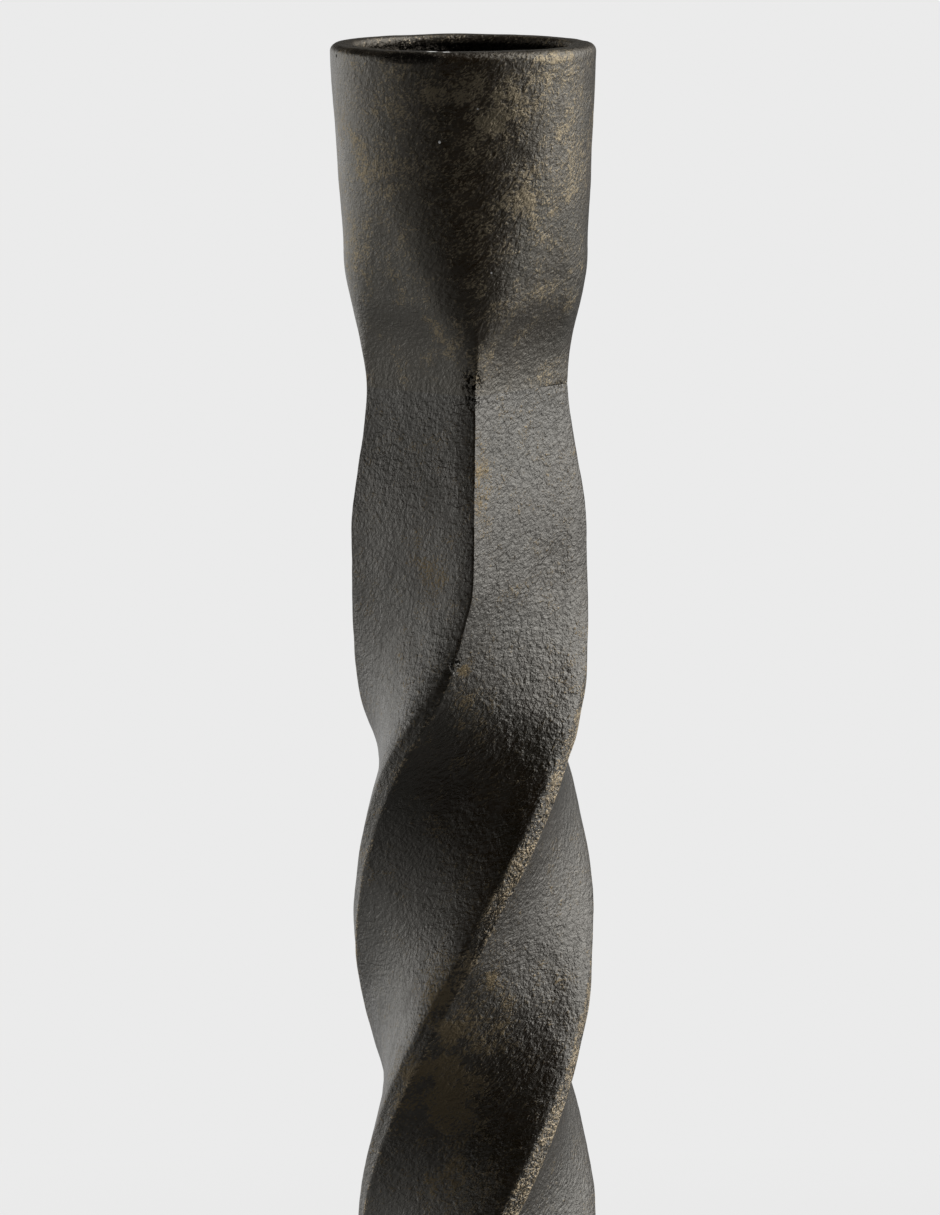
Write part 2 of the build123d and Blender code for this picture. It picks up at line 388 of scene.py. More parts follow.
class ShaderGroups:
    """The surface effects that the castings and fittings share."""

    # Sizes in the grain, as multiples of a pebble, and what each layer adds to its height.
    DRIFT_SIZE = 3.0
    DRIFT_REACH = 1.6
    LUMP_SIZE = 1.5
    MOTTLE_SIZE = 4.0
    STONE_HEIGHT = 0.20
    LUMP_HEIGHT = 0.48
    SAND_HEIGHT = 0.32
    MEAN_HEIGHT = 0.5
    # How much a fleck depends on the grain's height and on the mottle.
    FLECK_HEIGHT = 0.5
    FLECK_MOTTLE = 0.7
    # Where a cloud's border lies without cover, how far full cover lowers it, and how wide it is.
    CLOUD_LEVEL = 0.62
    CLOUD_COVER = 0.3
    CLOUD_BORDER = 0.16
    # How far full rubbing raises the flecks, and the least rubbing that shows.
    RUB_LIFT = 0.36
    LEAST_RUB = 0.02

    def __init__(self) -> None:
        """Builds each group once."""
        self.grain = self._grain()
        self.patches = self._patches()
        self.streaks = self._streaks()
        self.spot = self._spot()
        self.specks = self._specks()
        self.flecked = self._flecked()

    def _grain(self) -> Group:
        """Pebbly sand-cast grain: Height for bump, Flecks for the high spots that rubbing bares first.

        Returns:
            The group.
        """
        group = shader_group("Cast grain", ["Place"], ["Pebble Size", "Sand Size"], ["Height", "Flecks"])
        where, pebble, sand = (group[name] for name in ("Place", "Pebble Size", "Sand Size"))
        drift = group.noise(where, group.times(pebble, self.DRIFT_SIZE), detail=1.0, colour=True)
        drift = group.vector("SUBTRACT", drift, (0.5, 0.5, 0.5))
        drift = group.scaled(drift, group.times(pebble, self.DRIFT_REACH))
        warped = group.vector("ADD", where, drift)
        stones = group.cells(warped, pebble, "SMOOTH_F1", Smoothness=0.4).outputs["Distance"]
        lump_size = group.times(pebble, self.LUMP_SIZE)
        lumps = group.noise(warped, lump_size, roughness=0.55, seed=3.0)
        fine = group.noise(warped, sand, roughness=0.6, seed=7.0)
        height = group.times(group.minus(1.0, stones), self.STONE_HEIGHT)
        height = group.times_plus(lumps, self.LUMP_HEIGHT, height)
        height = group.times_plus(fine, self.SAND_HEIGHT, height)
        height = group.minus(height, self.MEAN_HEIGHT)
        mottle_size = group.times(pebble, self.MOTTLE_SIZE)
        mottle = group.noise(warped, mottle_size, detail=5.0, roughness=0.65, seed=11.0)
        mottle = group.minus(mottle, 0.5)
        flecks = group.times_plus(height, self.FLECK_HEIGHT, fine)
        group.give("Height", height)
        group.give("Flecks", group.times_plus(mottle, self.FLECK_MOTTLE, flecks))
        return group

    def _patches(self) -> Group:
        """Broad cloudy patches with ragged borders.

        Returns:
            The group.
        """
        group = shader_group("Cloudy patches", ["Place"], ["Size", "Cover", "Seed"], ["Mask"])
        place, size, cover, seed = (group[name] for name in ("Place", "Size", "Cover", "Seed"))
        cloud = group.noise(place, size, detail=4.0, roughness=0.6, seed=seed)
        low = group.minus(self.CLOUD_LEVEL, group.times(cover, self.CLOUD_COVER))
        group.give("Mask", group.span(cloud, low, group.plus(low, self.CLOUD_BORDER)))
        return group

    def _streaks(self) -> Group:
        """Long faint streaks that run along the bar, between its ridges.

        Returns:
            The group.
        """
        group = shader_group("Drawn streaks", [], ["Across", "Along", "Width", "Length"], ["Mask"])
        stretch = group.math("DIVIDE", group["Width"], group["Length"])
        along = group.times(group["Along"], stretch)
        place = group.joined(group["Across"], along, 0.0)
        streaks = group.noise(place, group["Width"], detail=3.0, roughness=0.6, seed=13.0)
        group.give("Mask", group.span(streaks, low=0.48, high=0.68))
        return group

    def _spot(self) -> Group:
        """A soft spot round a point of the surface.

        Returns:
            The group.
        """
        group = shader_group("Soft spot", ["Place", "Centre", "Radii"], ["Core"], ["Mask"])
        away = group.vector("SUBTRACT", group["Place"], group["Centre"])
        away = group.measure("LENGTH", group.vector("DIVIDE", away, group["Radii"]))
        group.give("Mask", group.span(away, group["Core"], 1.0, start=1.0, end=0.0))
        return group

    def _specks(self) -> Group:
        """Sparse round specks, for pinholes.

        Returns:
            The group.
        """
        group = shader_group("Sparse specks", ["Place"], ["Spacing", "Radius Share", "Cover"], ["Mask"])
        node = group.cells(group["Place"], group["Spacing"])
        chosen = group.split(node.outputs["Color"])[0]
        chosen = group.math("LESS_THAN", chosen, group["Cover"])
        reach = group["Radius Share"]
        solid = group.times(reach, 0.5)
        speck = group.span(node.outputs["Distance"], solid, reach, start=1.0, end=0.0)
        group.give("Mask", group.times(speck, chosen))
        return group

    def _flecked(self) -> Group:
        """Flecks of bare metal: few where little is rubbed off, and joined up where much is.

        Returns:
            The group.
        """
        group = shader_group("Rubbed flecks", [], ["Flecks", "Rub"], ["Mask"])
        level = group.times_plus(group["Rub"], self.RUB_LIFT, group["Flecks"])
        bare = group.span(level, low=0.62, high=0.80)
        shown = group.math("GREATER_THAN", group["Rub"], self.LEAST_RUB)
        group.give("Mask", group.times(bare, shown))
        return group


@dataclass(frozen=True)
class Spot:
    """A mark on the surface; its angle is in degrees from the camera's side, its lengths in millimetres."""

    azimuth: float
    radius: float
    depth: float
    radii: tuple[float, float, float]
    strength: float = 1.0
    core: float = 0.0

    def centre(self) -> Vector:
        """Where it is, below the cup's rim."""
        return around_axis(self.azimuth, self.radius * MM, RIM - self.depth * MM)

    def reach(self) -> tuple[float, ...]:
        """How far it reaches along X, Y and Z."""
        return tuple(length * MM for length in self.radii)


class Paint(Graph):
    """A material that is being drawn, with its shader and the piece's own coordinates."""

    def __init__(self, name: str, groups: ShaderGroups) -> None:
        """Starts a material.

        Args:
            name: The material's name.
            groups: The shared surface effects.
        """
        self.groups = groups
        self.material = bpy.data.materials.new(name)
        self.material.use_nodes = True
        super().__init__(self.material.node_tree)
        self.shader = self.tree.nodes["Principled BSDF"]
        self.place = self.add("ShaderNodeTexCoord").outputs["Object"]

    def coat(self, name: str, value: Feed) -> None:
        """Feeds one of the shader's inputs."""
        self.feed(self.shader.inputs[name], value)

    def carried(self, attribute: Attribute) -> Socket:
        """A value that each point of the piece carries."""
        return self.add("ShaderNodeAttribute", attribute_name=attribute.value).outputs["Fac"]

    def emboss(self, height: Socket, distance: float) -> None:
        """Bumps the surface, by a height times a distance."""
        bump = self.add("ShaderNodeBump", {"Strength": 1.0, "Distance": distance, "Height": height})
        self.coat("Normal", bump.outputs[0])


@dataclass(frozen=True)
class CastFinish:
    """Sand casting under a dense dark oxide, rubbed back to metal on its high spots and ridges."""

    name: str
    body: Colour = (0.015, 0.009, 0.0035, 1.0)
    body_grey: Colour = (0.011, 0.008, 0.0035, 1.0)
    sheen: Colour = (1.0, 0.967, 0.89, 1.0)
    gold: Colour = (0.40, 0.32, 0.20, 1.0)
    bared: Colour = (0.56, 0.46, 0.32, 1.0)
    pit_colour: Colour = (0.010, 0.008, 0.006, 1.0)
    dust_colour: Colour = (0.95, 0.95, 0.93, 1.0)
    # Painted shade: the darker, less reflective colour of the cup's socket, rim and lips.
    soot_colour: Colour = (0.055, 0.048, 0.040, 1.0)
    oxide_ior: float = 2.33
    pebble_size: float = 0.40 * MM
    sand_size: float = 0.18 * MM
    grain_height: float = 0.26 * MM
    grain_lean: float = math.radians(-35)
    grain_stretch: float = 2.0
    left_grain: float = 0.75
    right_grain: float = 1.2
    side_blend: float = 5.0 * MM
    # Share of the ridges' pale band on the left, shaded side; the full band on the right-hand, lit side is
    # partly worn metal and partly a painted highlight.
    left_band: float = 0.15
    band_grain: float = 1.4
    band_rub: float = 0.5
    # How much coarser the grain is under the painted shade.
    soot_grain: float = 1.2
    cloud_size: float = 14.0 * MM
    rub_size: float = 5.0 * MM
    rub_cover: float = 0.5
    thin_rub: float = 0.2
    least_mark: float = 0.35
    wear_size: float = 12.0 * MM
    least_wear: float = 0.25
    most_wear: float = 0.6
    pit_size: float = 0.3 * MM
    pit_depth: float = 1.3
    pit_roughness: float = 0.85
    pinhole_spacing: float = 7.0 * MM
    pinhole_share: float = 0.03
    pinhole_cover: float = 0.25
    roughness: float = 0.28
    smoother: float = 0.05
    rougher: float = 0.06
    fleck_gloss: float = 0.35
    rough_size: float = 5.0 * MM
    rubbed_roughness: float = 0.50
    streak_strength: float = 0.0
    streak_width: float = 0.9 * MM
    streak_length: float = 16.0 * MM
    rubs: tuple[Spot, ...] = ()
    worn: tuple[Spot, ...] = ()
    pits: tuple[Spot, ...] = ()
    pitted: tuple[Spot, ...] = ()
    # Spots of painted shade, which take the same darker colour as the socket.
    stains: tuple[Spot, ...] = ()
    dust: tuple[Spot, ...] = ()

    def material(self, groups: ShaderGroups) -> bpy.types.Material:
        """Builds the casting's material.

        Args:
            groups: The shared surface effects.

        Returns:
            The material.
        """
        paint = Paint(self.name, groups)
        lean = {"Vector": paint.place, "Rotation": (0.0, self.grain_lean, 0.0),
                "Scale": (self.grain_stretch, 1.0, 1.0)}
        leaned = paint.add("ShaderNodeMapping", lean, vector_type="TEXTURE")
        grain = groups.grain.place_in(paint, Place=leaned.outputs[0], Pebble_Size=self.pebble_size,
                                      Sand_Size=self.sand_size)
        height, flecks = grain.outputs["Height"], grain.outputs["Flecks"]
        cloud = groups.patches.place_in(paint, Place=paint.place, Size=self.cloud_size, Cover=0.5, Seed=2.0)
        # The side runs from the left, shaded half to the right-hand, lit half, so the ridge band's bared
        # metal is partly a painted highlight on the lit half.
        side = paint.span(paint.split(paint.place)[0], -self.side_blend, self.side_blend)
        band = paint.times(paint.carried(Attribute.BAND), paint.mixed(side, self.left_band, 1.0))
        rub = paint.times_plus(band, self.band_rub, self._rub(paint))
        rubbed = groups.flecked.place_in(paint, Flecks=flecks, Rub=rub).outputs["Mask"]
        wear = self._wear(paint)
        bared = groups.flecked.place_in(paint, Flecks=flecks, Rub=wear).outputs["Mask"]
        pits = self._pits(paint)
        dust = self._marks(paint, self.dust)
        stains = self._marks(paint, self.stains)
        # Painted shade: the socket, the rim, the lips and the listed spots take a darker, less reflective
        # colour.
        soot = paint.most(paint.carried(Attribute.SOOT), stains)
        colour = paint.tinted(cloud.outputs["Mask"], self.body, self.body_grey)
        metal: Feed = 0.0
        rubbed_colour = paint.tinted(band, self.gold, self.bared)
        for mask, layer in ((rubbed, rubbed_colour), (soot, self.soot_colour), (bared, self.bared),
                            (pits, self.pit_colour)):
            colour = paint.tinted(mask, colour, layer)
            metal = paint.most(mask, metal)
        paint.coat("Base Color", paint.tinted(dust, colour, self.dust_colour))
        paint.coat("Metallic", paint.math("SUBTRACT", metal, dust, clamp=True))
        paint.coat("IOR", self.oxide_ior)
        paint.coat("Specular Tint", self.sheen)
        rough = paint.mixed(rubbed, self._roughness(paint, flecks), self.rubbed_roughness)
        paint.coat("Roughness", paint.mixed(pits, rough, self.pit_roughness))
        coarse = paint.mixed(side, self.left_grain, self.right_grain)
        coarse = paint.times_plus(band, self.band_grain, coarse)
        coarse = paint.times_plus(soot, self.soot_grain, coarse)
        sunk = paint.times_plus(pits, -self.pit_depth, paint.times(height, coarse))
        paint.emboss(sunk, self.grain_height)
        return paint.material

    def _marks(self, paint: Paint, spots: Sequence[Spot]) -> Feed:
        """Mask of the marks at their own places.

        Args:
            paint: The material.
            spots: The marks.

        Returns:
            The mask, or 0 where there is no mark.
        """
        mask: Feed = 0.0
        for spot in spots:
            node = paint.groups.spot.place_in(paint, Place=paint.place, Centre=spot.centre(),
                                              Radii=spot.reach(), Core=spot.core)
            mask = paint.most(paint.times(node.outputs["Mask"], spot.strength), mask)
        return mask

    def _rub(self, paint: Paint) -> Socket:
        """How far the oxide is rubbed off: much at the marks, a little in clouds elsewhere.

        Args:
            paint: The material.

        Returns:
            How far, from 0 to 1.
        """
        marks = self._marks(paint, self.rubs)
        cloud = paint.groups.patches.place_in(paint, Place=paint.place, Size=self.rub_size,
                                              Cover=self.rub_cover, Seed=4.0).outputs["Mask"]
        ragged = paint.times_plus(cloud, 1 - self.least_mark, self.least_mark)
        thin = paint.times(cloud, self.thin_rub)
        return paint.most(paint.times(marks, ragged), thin)

    def _wear(self, paint: Paint) -> Socket:
        """How far the ridges are worn: most where they are handled, and in uneven stretches elsewhere.

        Args:
            paint: The material.

        Returns:
            How far, from 0 to 1.
        """
        stretches = paint.noise(paint.place, self.wear_size, seed=17.0)
        stretches = paint.span(stretches, low=0.4, high=0.6, start=self.least_wear, end=self.most_wear)
        handled = paint.most(self._marks(paint, self.worn), stretches)
        return paint.times(paint.carried(Attribute.WEAR), handled)

    def _pits(self, paint: Paint) -> Socket:
        """Mask of the pinholes, and of the places that are full of pits.

        Args:
            paint: The material.

        Returns:
            The mask.
        """
        holes = paint.noise(paint.place, self.pit_size, detail=1.0, seed=19.0)
        holes = paint.span(holes, low=0.48, high=0.58)
        crowded = paint.times(self._marks(paint, self.pitted), holes)
        loose = paint.groups.specks.place_in(paint, Place=paint.place, Spacing=self.pinhole_spacing,
                                             Radius_Share=self.pinhole_share, Cover=self.pinhole_cover)
        pits = paint.most(crowded, self._marks(paint, self.pits))
        return paint.most(pits, loose.outputs["Mask"])

    def _roughness(self, paint: Paint, flecks: Socket) -> Socket:
        """Roughness that varies in clouds, grains and streaks.

        Args:
            paint: The material.
            flecks: The grain's high spots, which are smoother.

        Returns:
            The roughness.
        """
        cloud = paint.noise(paint.place, self.rough_size, detail=3.0, roughness=0.6, seed=5.0)
        rough = paint.span(cloud, low=0.3, high=0.7, start=self.roughness - self.smoother,
                           end=self.roughness + self.rougher, ramp=Ramp.EVEN)
        rough = paint.times_plus(paint.minus(0.5, flecks), self.fleck_gloss, rough)
        if self.streak_strength:
            along = paint.split(paint.place)[2]
            across = paint.carried(Attribute.ACROSS)
            streaks = paint.groups.streaks.place_in(paint, Across=across, Along=along,
                                                    Width=self.streak_width, Length=self.streak_length)
            rough = paint.times_plus(streaks.outputs["Mask"], self.streak_strength, rough)
        return rough


@dataclass(frozen=True)
class SteelFinish:
    """Zinc-plated steel with fine turning marks."""

    name: str
    zinc: Colour = (0.62, 0.61, 0.58, 1.0)
    dull: Colour = (0.42, 0.42, 0.41, 1.0)
    cloud_size: float = 2.0 * MM
    zinc_roughness: float = 0.28
    dull_roughness: float = 0.45
    mark_size: float = 0.9 * MM
    mark_squash: float = 12.0
    mark_depth: float = 0.01 * MM

    def material(self, groups: ShaderGroups) -> bpy.types.Material:
        """Builds the fasteners' material.

        Args:
            groups: The shared surface effects.

        Returns:
            The material.
        """
        paint = Paint(self.name, groups)
        clouds = groups.patches.place_in(paint, Place=paint.place, Size=self.cloud_size, Cover=0.5,
                                         Seed=6.0).outputs["Mask"]
        paint.coat("Base Color", paint.tinted(clouds, self.zinc, self.dull))
        paint.coat("Metallic", 1.0)
        paint.coat("Roughness", paint.mixed(clouds, self.zinc_roughness, self.dull_roughness))
        stretched = paint.vector("MULTIPLY", paint.place, (1.0, 1.0, self.mark_squash))
        marks = paint.noise(stretched, self.mark_size, roughness=0.6, seed=9.0)
        paint.emboss(marks, self.mark_depth)
        return paint.material


@dataclass(frozen=True)
class FeltFinish:
    """Pressed black wool felt."""

    name: str
    wool: Colour = (0.022, 0.022, 0.023, 1.0)
    lint: Colour = (0.085, 0.083, 0.080, 1.0)
    drift_size: float = 3.0 * MM
    drift_reach: float = 4.0 * MM
    fibre_size: float = 1.6 * MM
    fibre_squash: float = 6.0
    fibre_lint: float = 0.7
    clump_size: float = 6.0 * MM
    clump_lint: float = 0.12
    least_roughness: float = 0.88
    sheen: float = 0.25
    nap_height: float = 0.12 * MM

    def material(self, groups: ShaderGroups) -> bpy.types.Material:
        """Builds the felt's material.

        Args:
            groups: The shared surface effects.

        Returns:
            The material.
        """
        paint = Paint(self.name, groups)
        drift = paint.noise(paint.place, self.drift_size, seed=1.0, colour=True)
        bent = paint.vector("ADD", paint.place, paint.scaled(drift, self.drift_reach))
        squash = self.fibre_squash
        layers = []
        for stretch, seed in (((1.0, squash, squash), 2.0), ((squash, 1.0, squash), 4.0)):
            drawn = paint.vector("MULTIPLY", bent, stretch)
            layers.append(paint.noise(drawn, self.fibre_size, detail=3.0, roughness=0.6, seed=seed))
        fibres = paint.most(*layers)
        clumps = groups.patches.place_in(paint, Place=paint.place, Size=self.clump_size, Cover=0.5, Seed=8.0)
        lint = paint.times(paint.span(fibres, low=0.55, high=0.75), self.fibre_lint)
        lint = paint.times_plus(clumps.outputs["Mask"], self.clump_lint, lint)
        paint.coat("Base Color", paint.tinted(lint, self.wool, self.lint))
        rough = paint.span(fibres, low=0.4, high=0.8, start=self.least_roughness, end=1.0, ramp=Ramp.EVEN)
        paint.coat("Roughness", rough)
        paint.coat("Sheen Weight", self.sheen)
        paint.emboss(fibres, self.nap_height)
        return paint.material


@dataclass(frozen=True)
class Corner:
    """How a square bar's corner rounds off on both sides of its crease, as seen from outside."""

    left_radius: float
    left_turn: float
    right_radius: float
    right_turn: float

    @classmethod
    def round(cls, radius: float) -> "Corner":
        """A corner with no crease, which makes the whole outline a circle."""
        return cls(radius, QUARTER / 2, radius, QUARTER / 2)

    def towards(self, other: "Corner", share: float) -> "Corner":
        """A corner between this one and another.

        Args:
            other: The other corner.
            share: 0 for this one, 1 for the other.

        Returns:
            The corner between them.
        """
        return Corner(blend(self.left_radius, other.left_radius, share),
                      blend(self.left_turn, other.left_turn, share),
                      blend(self.right_radius, other.right_radius, share),
                      blend(self.right_turn, other.right_turn, share))

    def left_drop(self) -> float:
        """How far the crease lies below the left side's plane."""
        return self.left_radius * (1 - math.cos(self.left_turn))

    def right_drop(self) -> float:
        """How far the crease lies below the right side's plane."""
        return self.right_radius * (1 - math.cos(self.right_turn))


@dataclass(frozen=True)
class Section:
    """One level of a casting: a square with creased or rounded corners, or a circle."""

    height: float
    reach: float
    corner: Corner
    turn: float = CORNER_TURN

    @classmethod
    def circle(cls, height: float, radius: float) -> "Section":
        """A round level."""
        return cls(height, radius, Corner.round(radius))

    def half_width(self) -> float:
        """Distance from the axis to the middle of a side."""
        return self.reach / math.sqrt(2) + (self.corner.left_drop() + self.corner.right_drop()) / 2

    def point(self, share: float) -> Vector:
        """Point of the outline at a share of the way round; points crowd together near a sharp corner.

        Args:
            share: 0 to 1, from the middle of one side.

        Returns:
            The point.
        """
        quarter, part = divmod(share * 4, 1)
        on_left = part < 0.5
        corner = self.corner
        radius, turn = ((corner.left_radius, corner.left_turn) if on_left
                        else (corner.right_radius, corner.right_turn))
        other_drop = corner.right_drop() if on_left else corner.left_drop()
        half_width = self.half_width()
        side = half_width - other_drop - radius * math.sin(turn)
        away = abs(part - 0.5) * 2
        near = min(NEAR_LENGTH, side / 2)
        crowded = radius * turn * min(away / CORNER_POINTS, 1.0)
        crowded += near * min(max((away - CORNER_POINTS) / (NEAR_POINTS - CORNER_POINTS), 0.0), 1.0)
        crowded += (side - near) * max((away - NEAR_POINTS) / (1 - NEAR_POINTS), 0.0)
        distance = blend(away * (side + radius * turn), crowded, side / half_width)
        bend = max(turn - distance / radius, 0.0)
        past = max(distance - radius * turn, 0.0)
        deep = half_width - radius * (1 - math.cos(bend))
        along = side + radius * math.sin(bend) - past
        outline = Vector((deep, along)) if on_left else Vector((along, deep))
        turned = Matrix.Rotation(self.turn + quarter * QUARTER, 2) @ outline
        return Vector((turned.x, turned.y, self.height))


@dataclass(frozen=True)
class Row:
    """A level of a skin, and what its points carry."""

    section: Section
    cast: float = 1.0
    wear: float = 0.0
    # How much painted shade the ring takes.
    soot: float = 0.0


class RingSkin:
    """A skin drawn ring by ring, from the inside of one end over the outside to the other end."""

    def __init__(self, points_around: int) -> None:
        """Starts an empty skin.

        Args:
            points_around: How many points each ring has.
        """
        self.points_around = points_around
        self.mesh = bmesh.new()
        self.layers = {name: self.mesh.verts.layers.float.new(name.value) for name in Attribute}
        self.rings: list[list[bmesh.types.BMVert]] = []

    def row(self, row: Row) -> None:
        """Adds a ring and joins it to the one before.

        Args:
            row: The ring's outline and what its points carry.
        """
        ring = []
        for index in range(self.points_around):
            share = index / self.points_around
            vert = self.mesh.verts.new(row.section.point(share))
            vert[self.layers[Attribute.SKIN]] = row.cast
            vert[self.layers[Attribute.WEAR]] = row.wear
            vert[self.layers[Attribute.SOOT]] = row.soot
            ring.append(vert)
        self._join(ring)

    def pole(self, height: float, soot: float = 0.0) -> None:
        """Opens or closes the skin with a point on the axis.

        Args:
            height: The point's height.
            soot: How much painted shade it takes.
        """
        vert = self.mesh.verts.new((0, 0, height))
        vert[self.layers[Attribute.SOOT]] = soot
        self._join([vert])

    def close(self) -> None:
        """Joins the last ring to the first."""
        self._join(self.rings[0])

    def _join(self, ring: list[bmesh.types.BMVert]) -> None:
        """Joins a ring, or a point, to the last one.

        Args:
            ring: The points, in order round the axis.
        """
        if self.rings:
            last = self.rings[-1]
            for index in range(self.points_around):
                after = (index + 1) % self.points_around
                corners = [last[index % len(last)], last[after % len(last)],
                           ring[after % len(ring)], ring[index % len(ring)]]
                self.mesh.faces.new(list(dict.fromkeys(corners)))
        self.rings.append(ring)

    def finish(self, name: str) -> bpy.types.Mesh:
        """Turns the skin into a mesh.

        Args:
            name: The mesh's name.

        Returns:
            The mesh.
        """
        mesh = bpy.data.meshes.new(name)
        self.mesh.to_mesh(mesh)
        self.mesh.free()
        return mesh


class GeometryGroups:
    """The node trees that draw the twisted bar and the threads, and roughen the castings."""

    # What each kind of mark adds to a casting's seed, and how coarse the seam's pitting is.
    DENT_SEED = 5.0
    PITTING_SEED = 9.0
    PITTING_SIZE = 0.9 * MM
    # Where the twist's lag is greatest, as a share of its length.
    LAG_MIDDLE = 0.45
    # Where a ridge's pale band starts to fade and where it ends, in widths of the bevel, and a little more.
    BAND_FADE = 0.9
    BAND_END = 1.15
    BAND_SPARE = 0.05 * MM

    def __init__(self) -> None:
        """Builds each tree once."""
        self.eased = self._eased()
        self.corner = self._corner()
        self.cast = self._cast()
        self.bar = self._bar()
        self.thread = self._thread()

    def _eased(self) -> Group:
        """Length that has turned so far, easing in where the twist starts.

        Returns:
            The group.
        """
        group = Group("Eased length", TreeKind.GEOMETRY, numbers("Length", "Ease"), numbers("Turned"))
        length, easing = group["Length"], group["Ease"]
        half = group.times(easing, 0.5)
        ramp = group.most(group.plus(length, half), 0.0)
        ramp = group.math("MINIMUM", ramp, easing)
        start = group.math("DIVIDE", group.times(ramp, ramp), group.times(easing, 2.0))
        rest = group.most(group.minus(length, half), 0.0)
        group.give("Turned", group.plus(start, rest))
        return group

    def _corner(self) -> Group:
        """Point of a square's outline from the middle of a side to the next, over the bevel and the crease.

        Returns:
            The group.
        """
        sizes = numbers("Share", "Reach", "Left Radius", "Left Turn", "Right Radius", "Right Turn",
                        "Bevel Width", "Bevel Turn")
        group = Group("Creased corner", TreeKind.GEOMETRY, sizes,
                      [Named("Point", SocketKind.PLACE), *numbers("Corner Distance", "On Right")])
        on_right = group.math("GREATER_THAN", group["Share"], 0.5)
        drops = []
        for side in ("Left", "Right"):
            level = group.minus(1.0, group.math("COSINE", group[f"{side} Turn"]))
            drops.append(group.times(level, group[f"{side} Radius"]))
        bevel_sine = group.math("SINE", group["Bevel Turn"])
        bevel_cosine = group.math("COSINE", group["Bevel Turn"])
        drops[0] = group.times_plus(bevel_sine, group["Bevel Width"], drops[0])
        drop = group.times(group.plus(*drops), 0.5)
        half_width = group.times_plus(group["Reach"], math.sqrt(0.5), drop)
        radius = group.mixed(on_right, group["Left Radius"], group["Right Radius"])
        turn = group.mixed(on_right, group["Left Turn"], group["Right Turn"])
        side = group.minus(half_width, group.mixed(on_right, drops[1], drops[0]))
        side = group.minus(side, group.times(radius, group.math("SINE", turn)))
        bevel = group.mixed(on_right, group["Bevel Width"], 0.0)
        side = group.minus(side, group.times(bevel, bevel_cosine))
        arc = group.times_plus(radius, turn, bevel)
        away = group.minus(group["Share"], 0.5)
        away = group.times(group.math("ABSOLUTE", away), 2.0)
        near = group.math("MINIMUM", group.times(side, 0.5), NEAR_LENGTH)
        crowded = group.span(away, 0.0, CORNER_POINTS, 0.0, arc, Ramp.EVEN)
        nearby = group.span(away, CORNER_POINTS, NEAR_POINTS, 0.0, near, Ramp.EVEN)
        crowded = group.plus(crowded, nearby)
        rest = group.span(away, NEAR_POINTS, 1.0, 0.0, group.minus(side, near), Ramp.EVEN)
        crowded = group.plus(crowded, rest)
        even = group.times(away, group.plus(side, arc))
        distance = group.mixed(group.math("DIVIDE", side, half_width), even, crowded)
        on_bevel = group.most(group.minus(bevel, distance), 0.0)
        rounded = group.most(group.minus(distance, bevel), 0.0)
        bend = group.minus(turn, group.math("DIVIDE", rounded, radius))
        bend = group.most(bend, 0.0)
        past = group.most(group.minus(distance, arc), 0.0)
        fall = group.times(radius, group.minus(1.0, group.math("COSINE", bend)))
        fall = group.times_plus(on_bevel, bevel_sine, fall)
        deep = group.minus(half_width, fall)
        along = group.minus(side, past)
        along = group.times_plus(group.math("SINE", bend), radius, along)
        along = group.times_plus(on_bevel, bevel_cosine, along)
        group.give("Point", group.joined(group.mixed(on_right, deep, along),
                                         group.mixed(on_right, along, deep), 0.0))
        group.give("Corner Distance", distance)
        group.give("On Right", on_right)
        return group

    def _cast(self) -> Group:
        """Roughens a casting: soft ripples and dents in a raised skin, and a pitted stretch of its seam.

        Returns:
            The group.
        """
        geometry = Named("Geometry", SocketKind.GEOMETRY)
        sizes = numbers("Lift", "Ripple Size", "Ripple Depth", "Dent Size", "Dent Depth", "Seam Reach",
                        "Seam Spread", "Seam Depth", "Seed")
        seam_place = Named("Seam Place", SocketKind.PLACE)
        group = Group("Cast skin", TreeKind.GEOMETRY, [geometry, *sizes, seam_place], [geometry])
        place = group.add("GeometryNodeInputPosition").outputs[0]
        seed = group["Seed"]
        ripple = group.noise(place, group["Ripple Size"], detail=3.0, seed=seed)
        ripple = group.span(ripple, low=0.25, high=0.75, ramp=Ramp.EVEN)
        depth = group.times(ripple, group["Ripple Depth"])
        dent_seed = group.plus(seed, self.DENT_SEED)
        dent = group.noise(place, group["Dent Size"], detail=1.0, seed=dent_seed)
        dent = group.span(dent, low=0.58, high=0.78)
        depth = group.times_plus(dent, group["Dent Depth"], depth)
        raised = group.minus(group["Lift"], depth)
        weight = group.add("GeometryNodeInputNamedAttribute", {"Name": Attribute.SKIN.value},
                           data_type="FLOAT")
        raised = group.times(raised, weight.outputs[0])
        off_seam = group.vector("SUBTRACT", place, group["Seam Place"])
        above = group.math("ABSOLUTE", group.split(off_seam)[2])
        seam = group.span(above, 0.0, group["Seam Reach"], start=1.0, end=0.0)
        away = group.measure("LENGTH", off_seam)
        seam = group.times(seam, group.span(away, 0.0, group["Seam Spread"], start=1.0, end=0.0))
        pitting_seed = group.plus(seed, self.PITTING_SEED)
        pitting = group.noise(place, self.PITTING_SIZE, roughness=0.6, seed=pitting_seed)
        seam = group.times(seam, group.span(pitting, low=0.3, high=0.6))
        raised = group.minus(raised, group.times(seam, group["Seam Depth"]))
        normal = group.add("GeometryNodeInputNormal").outputs[0]
        offset = group.scaled(normal, raised)
        moved = group.add("GeometryNodeSetPosition", {"Geometry": group["Geometry"], "Offset": offset})
        group.give("Geometry", moved.outputs[0])
        return group

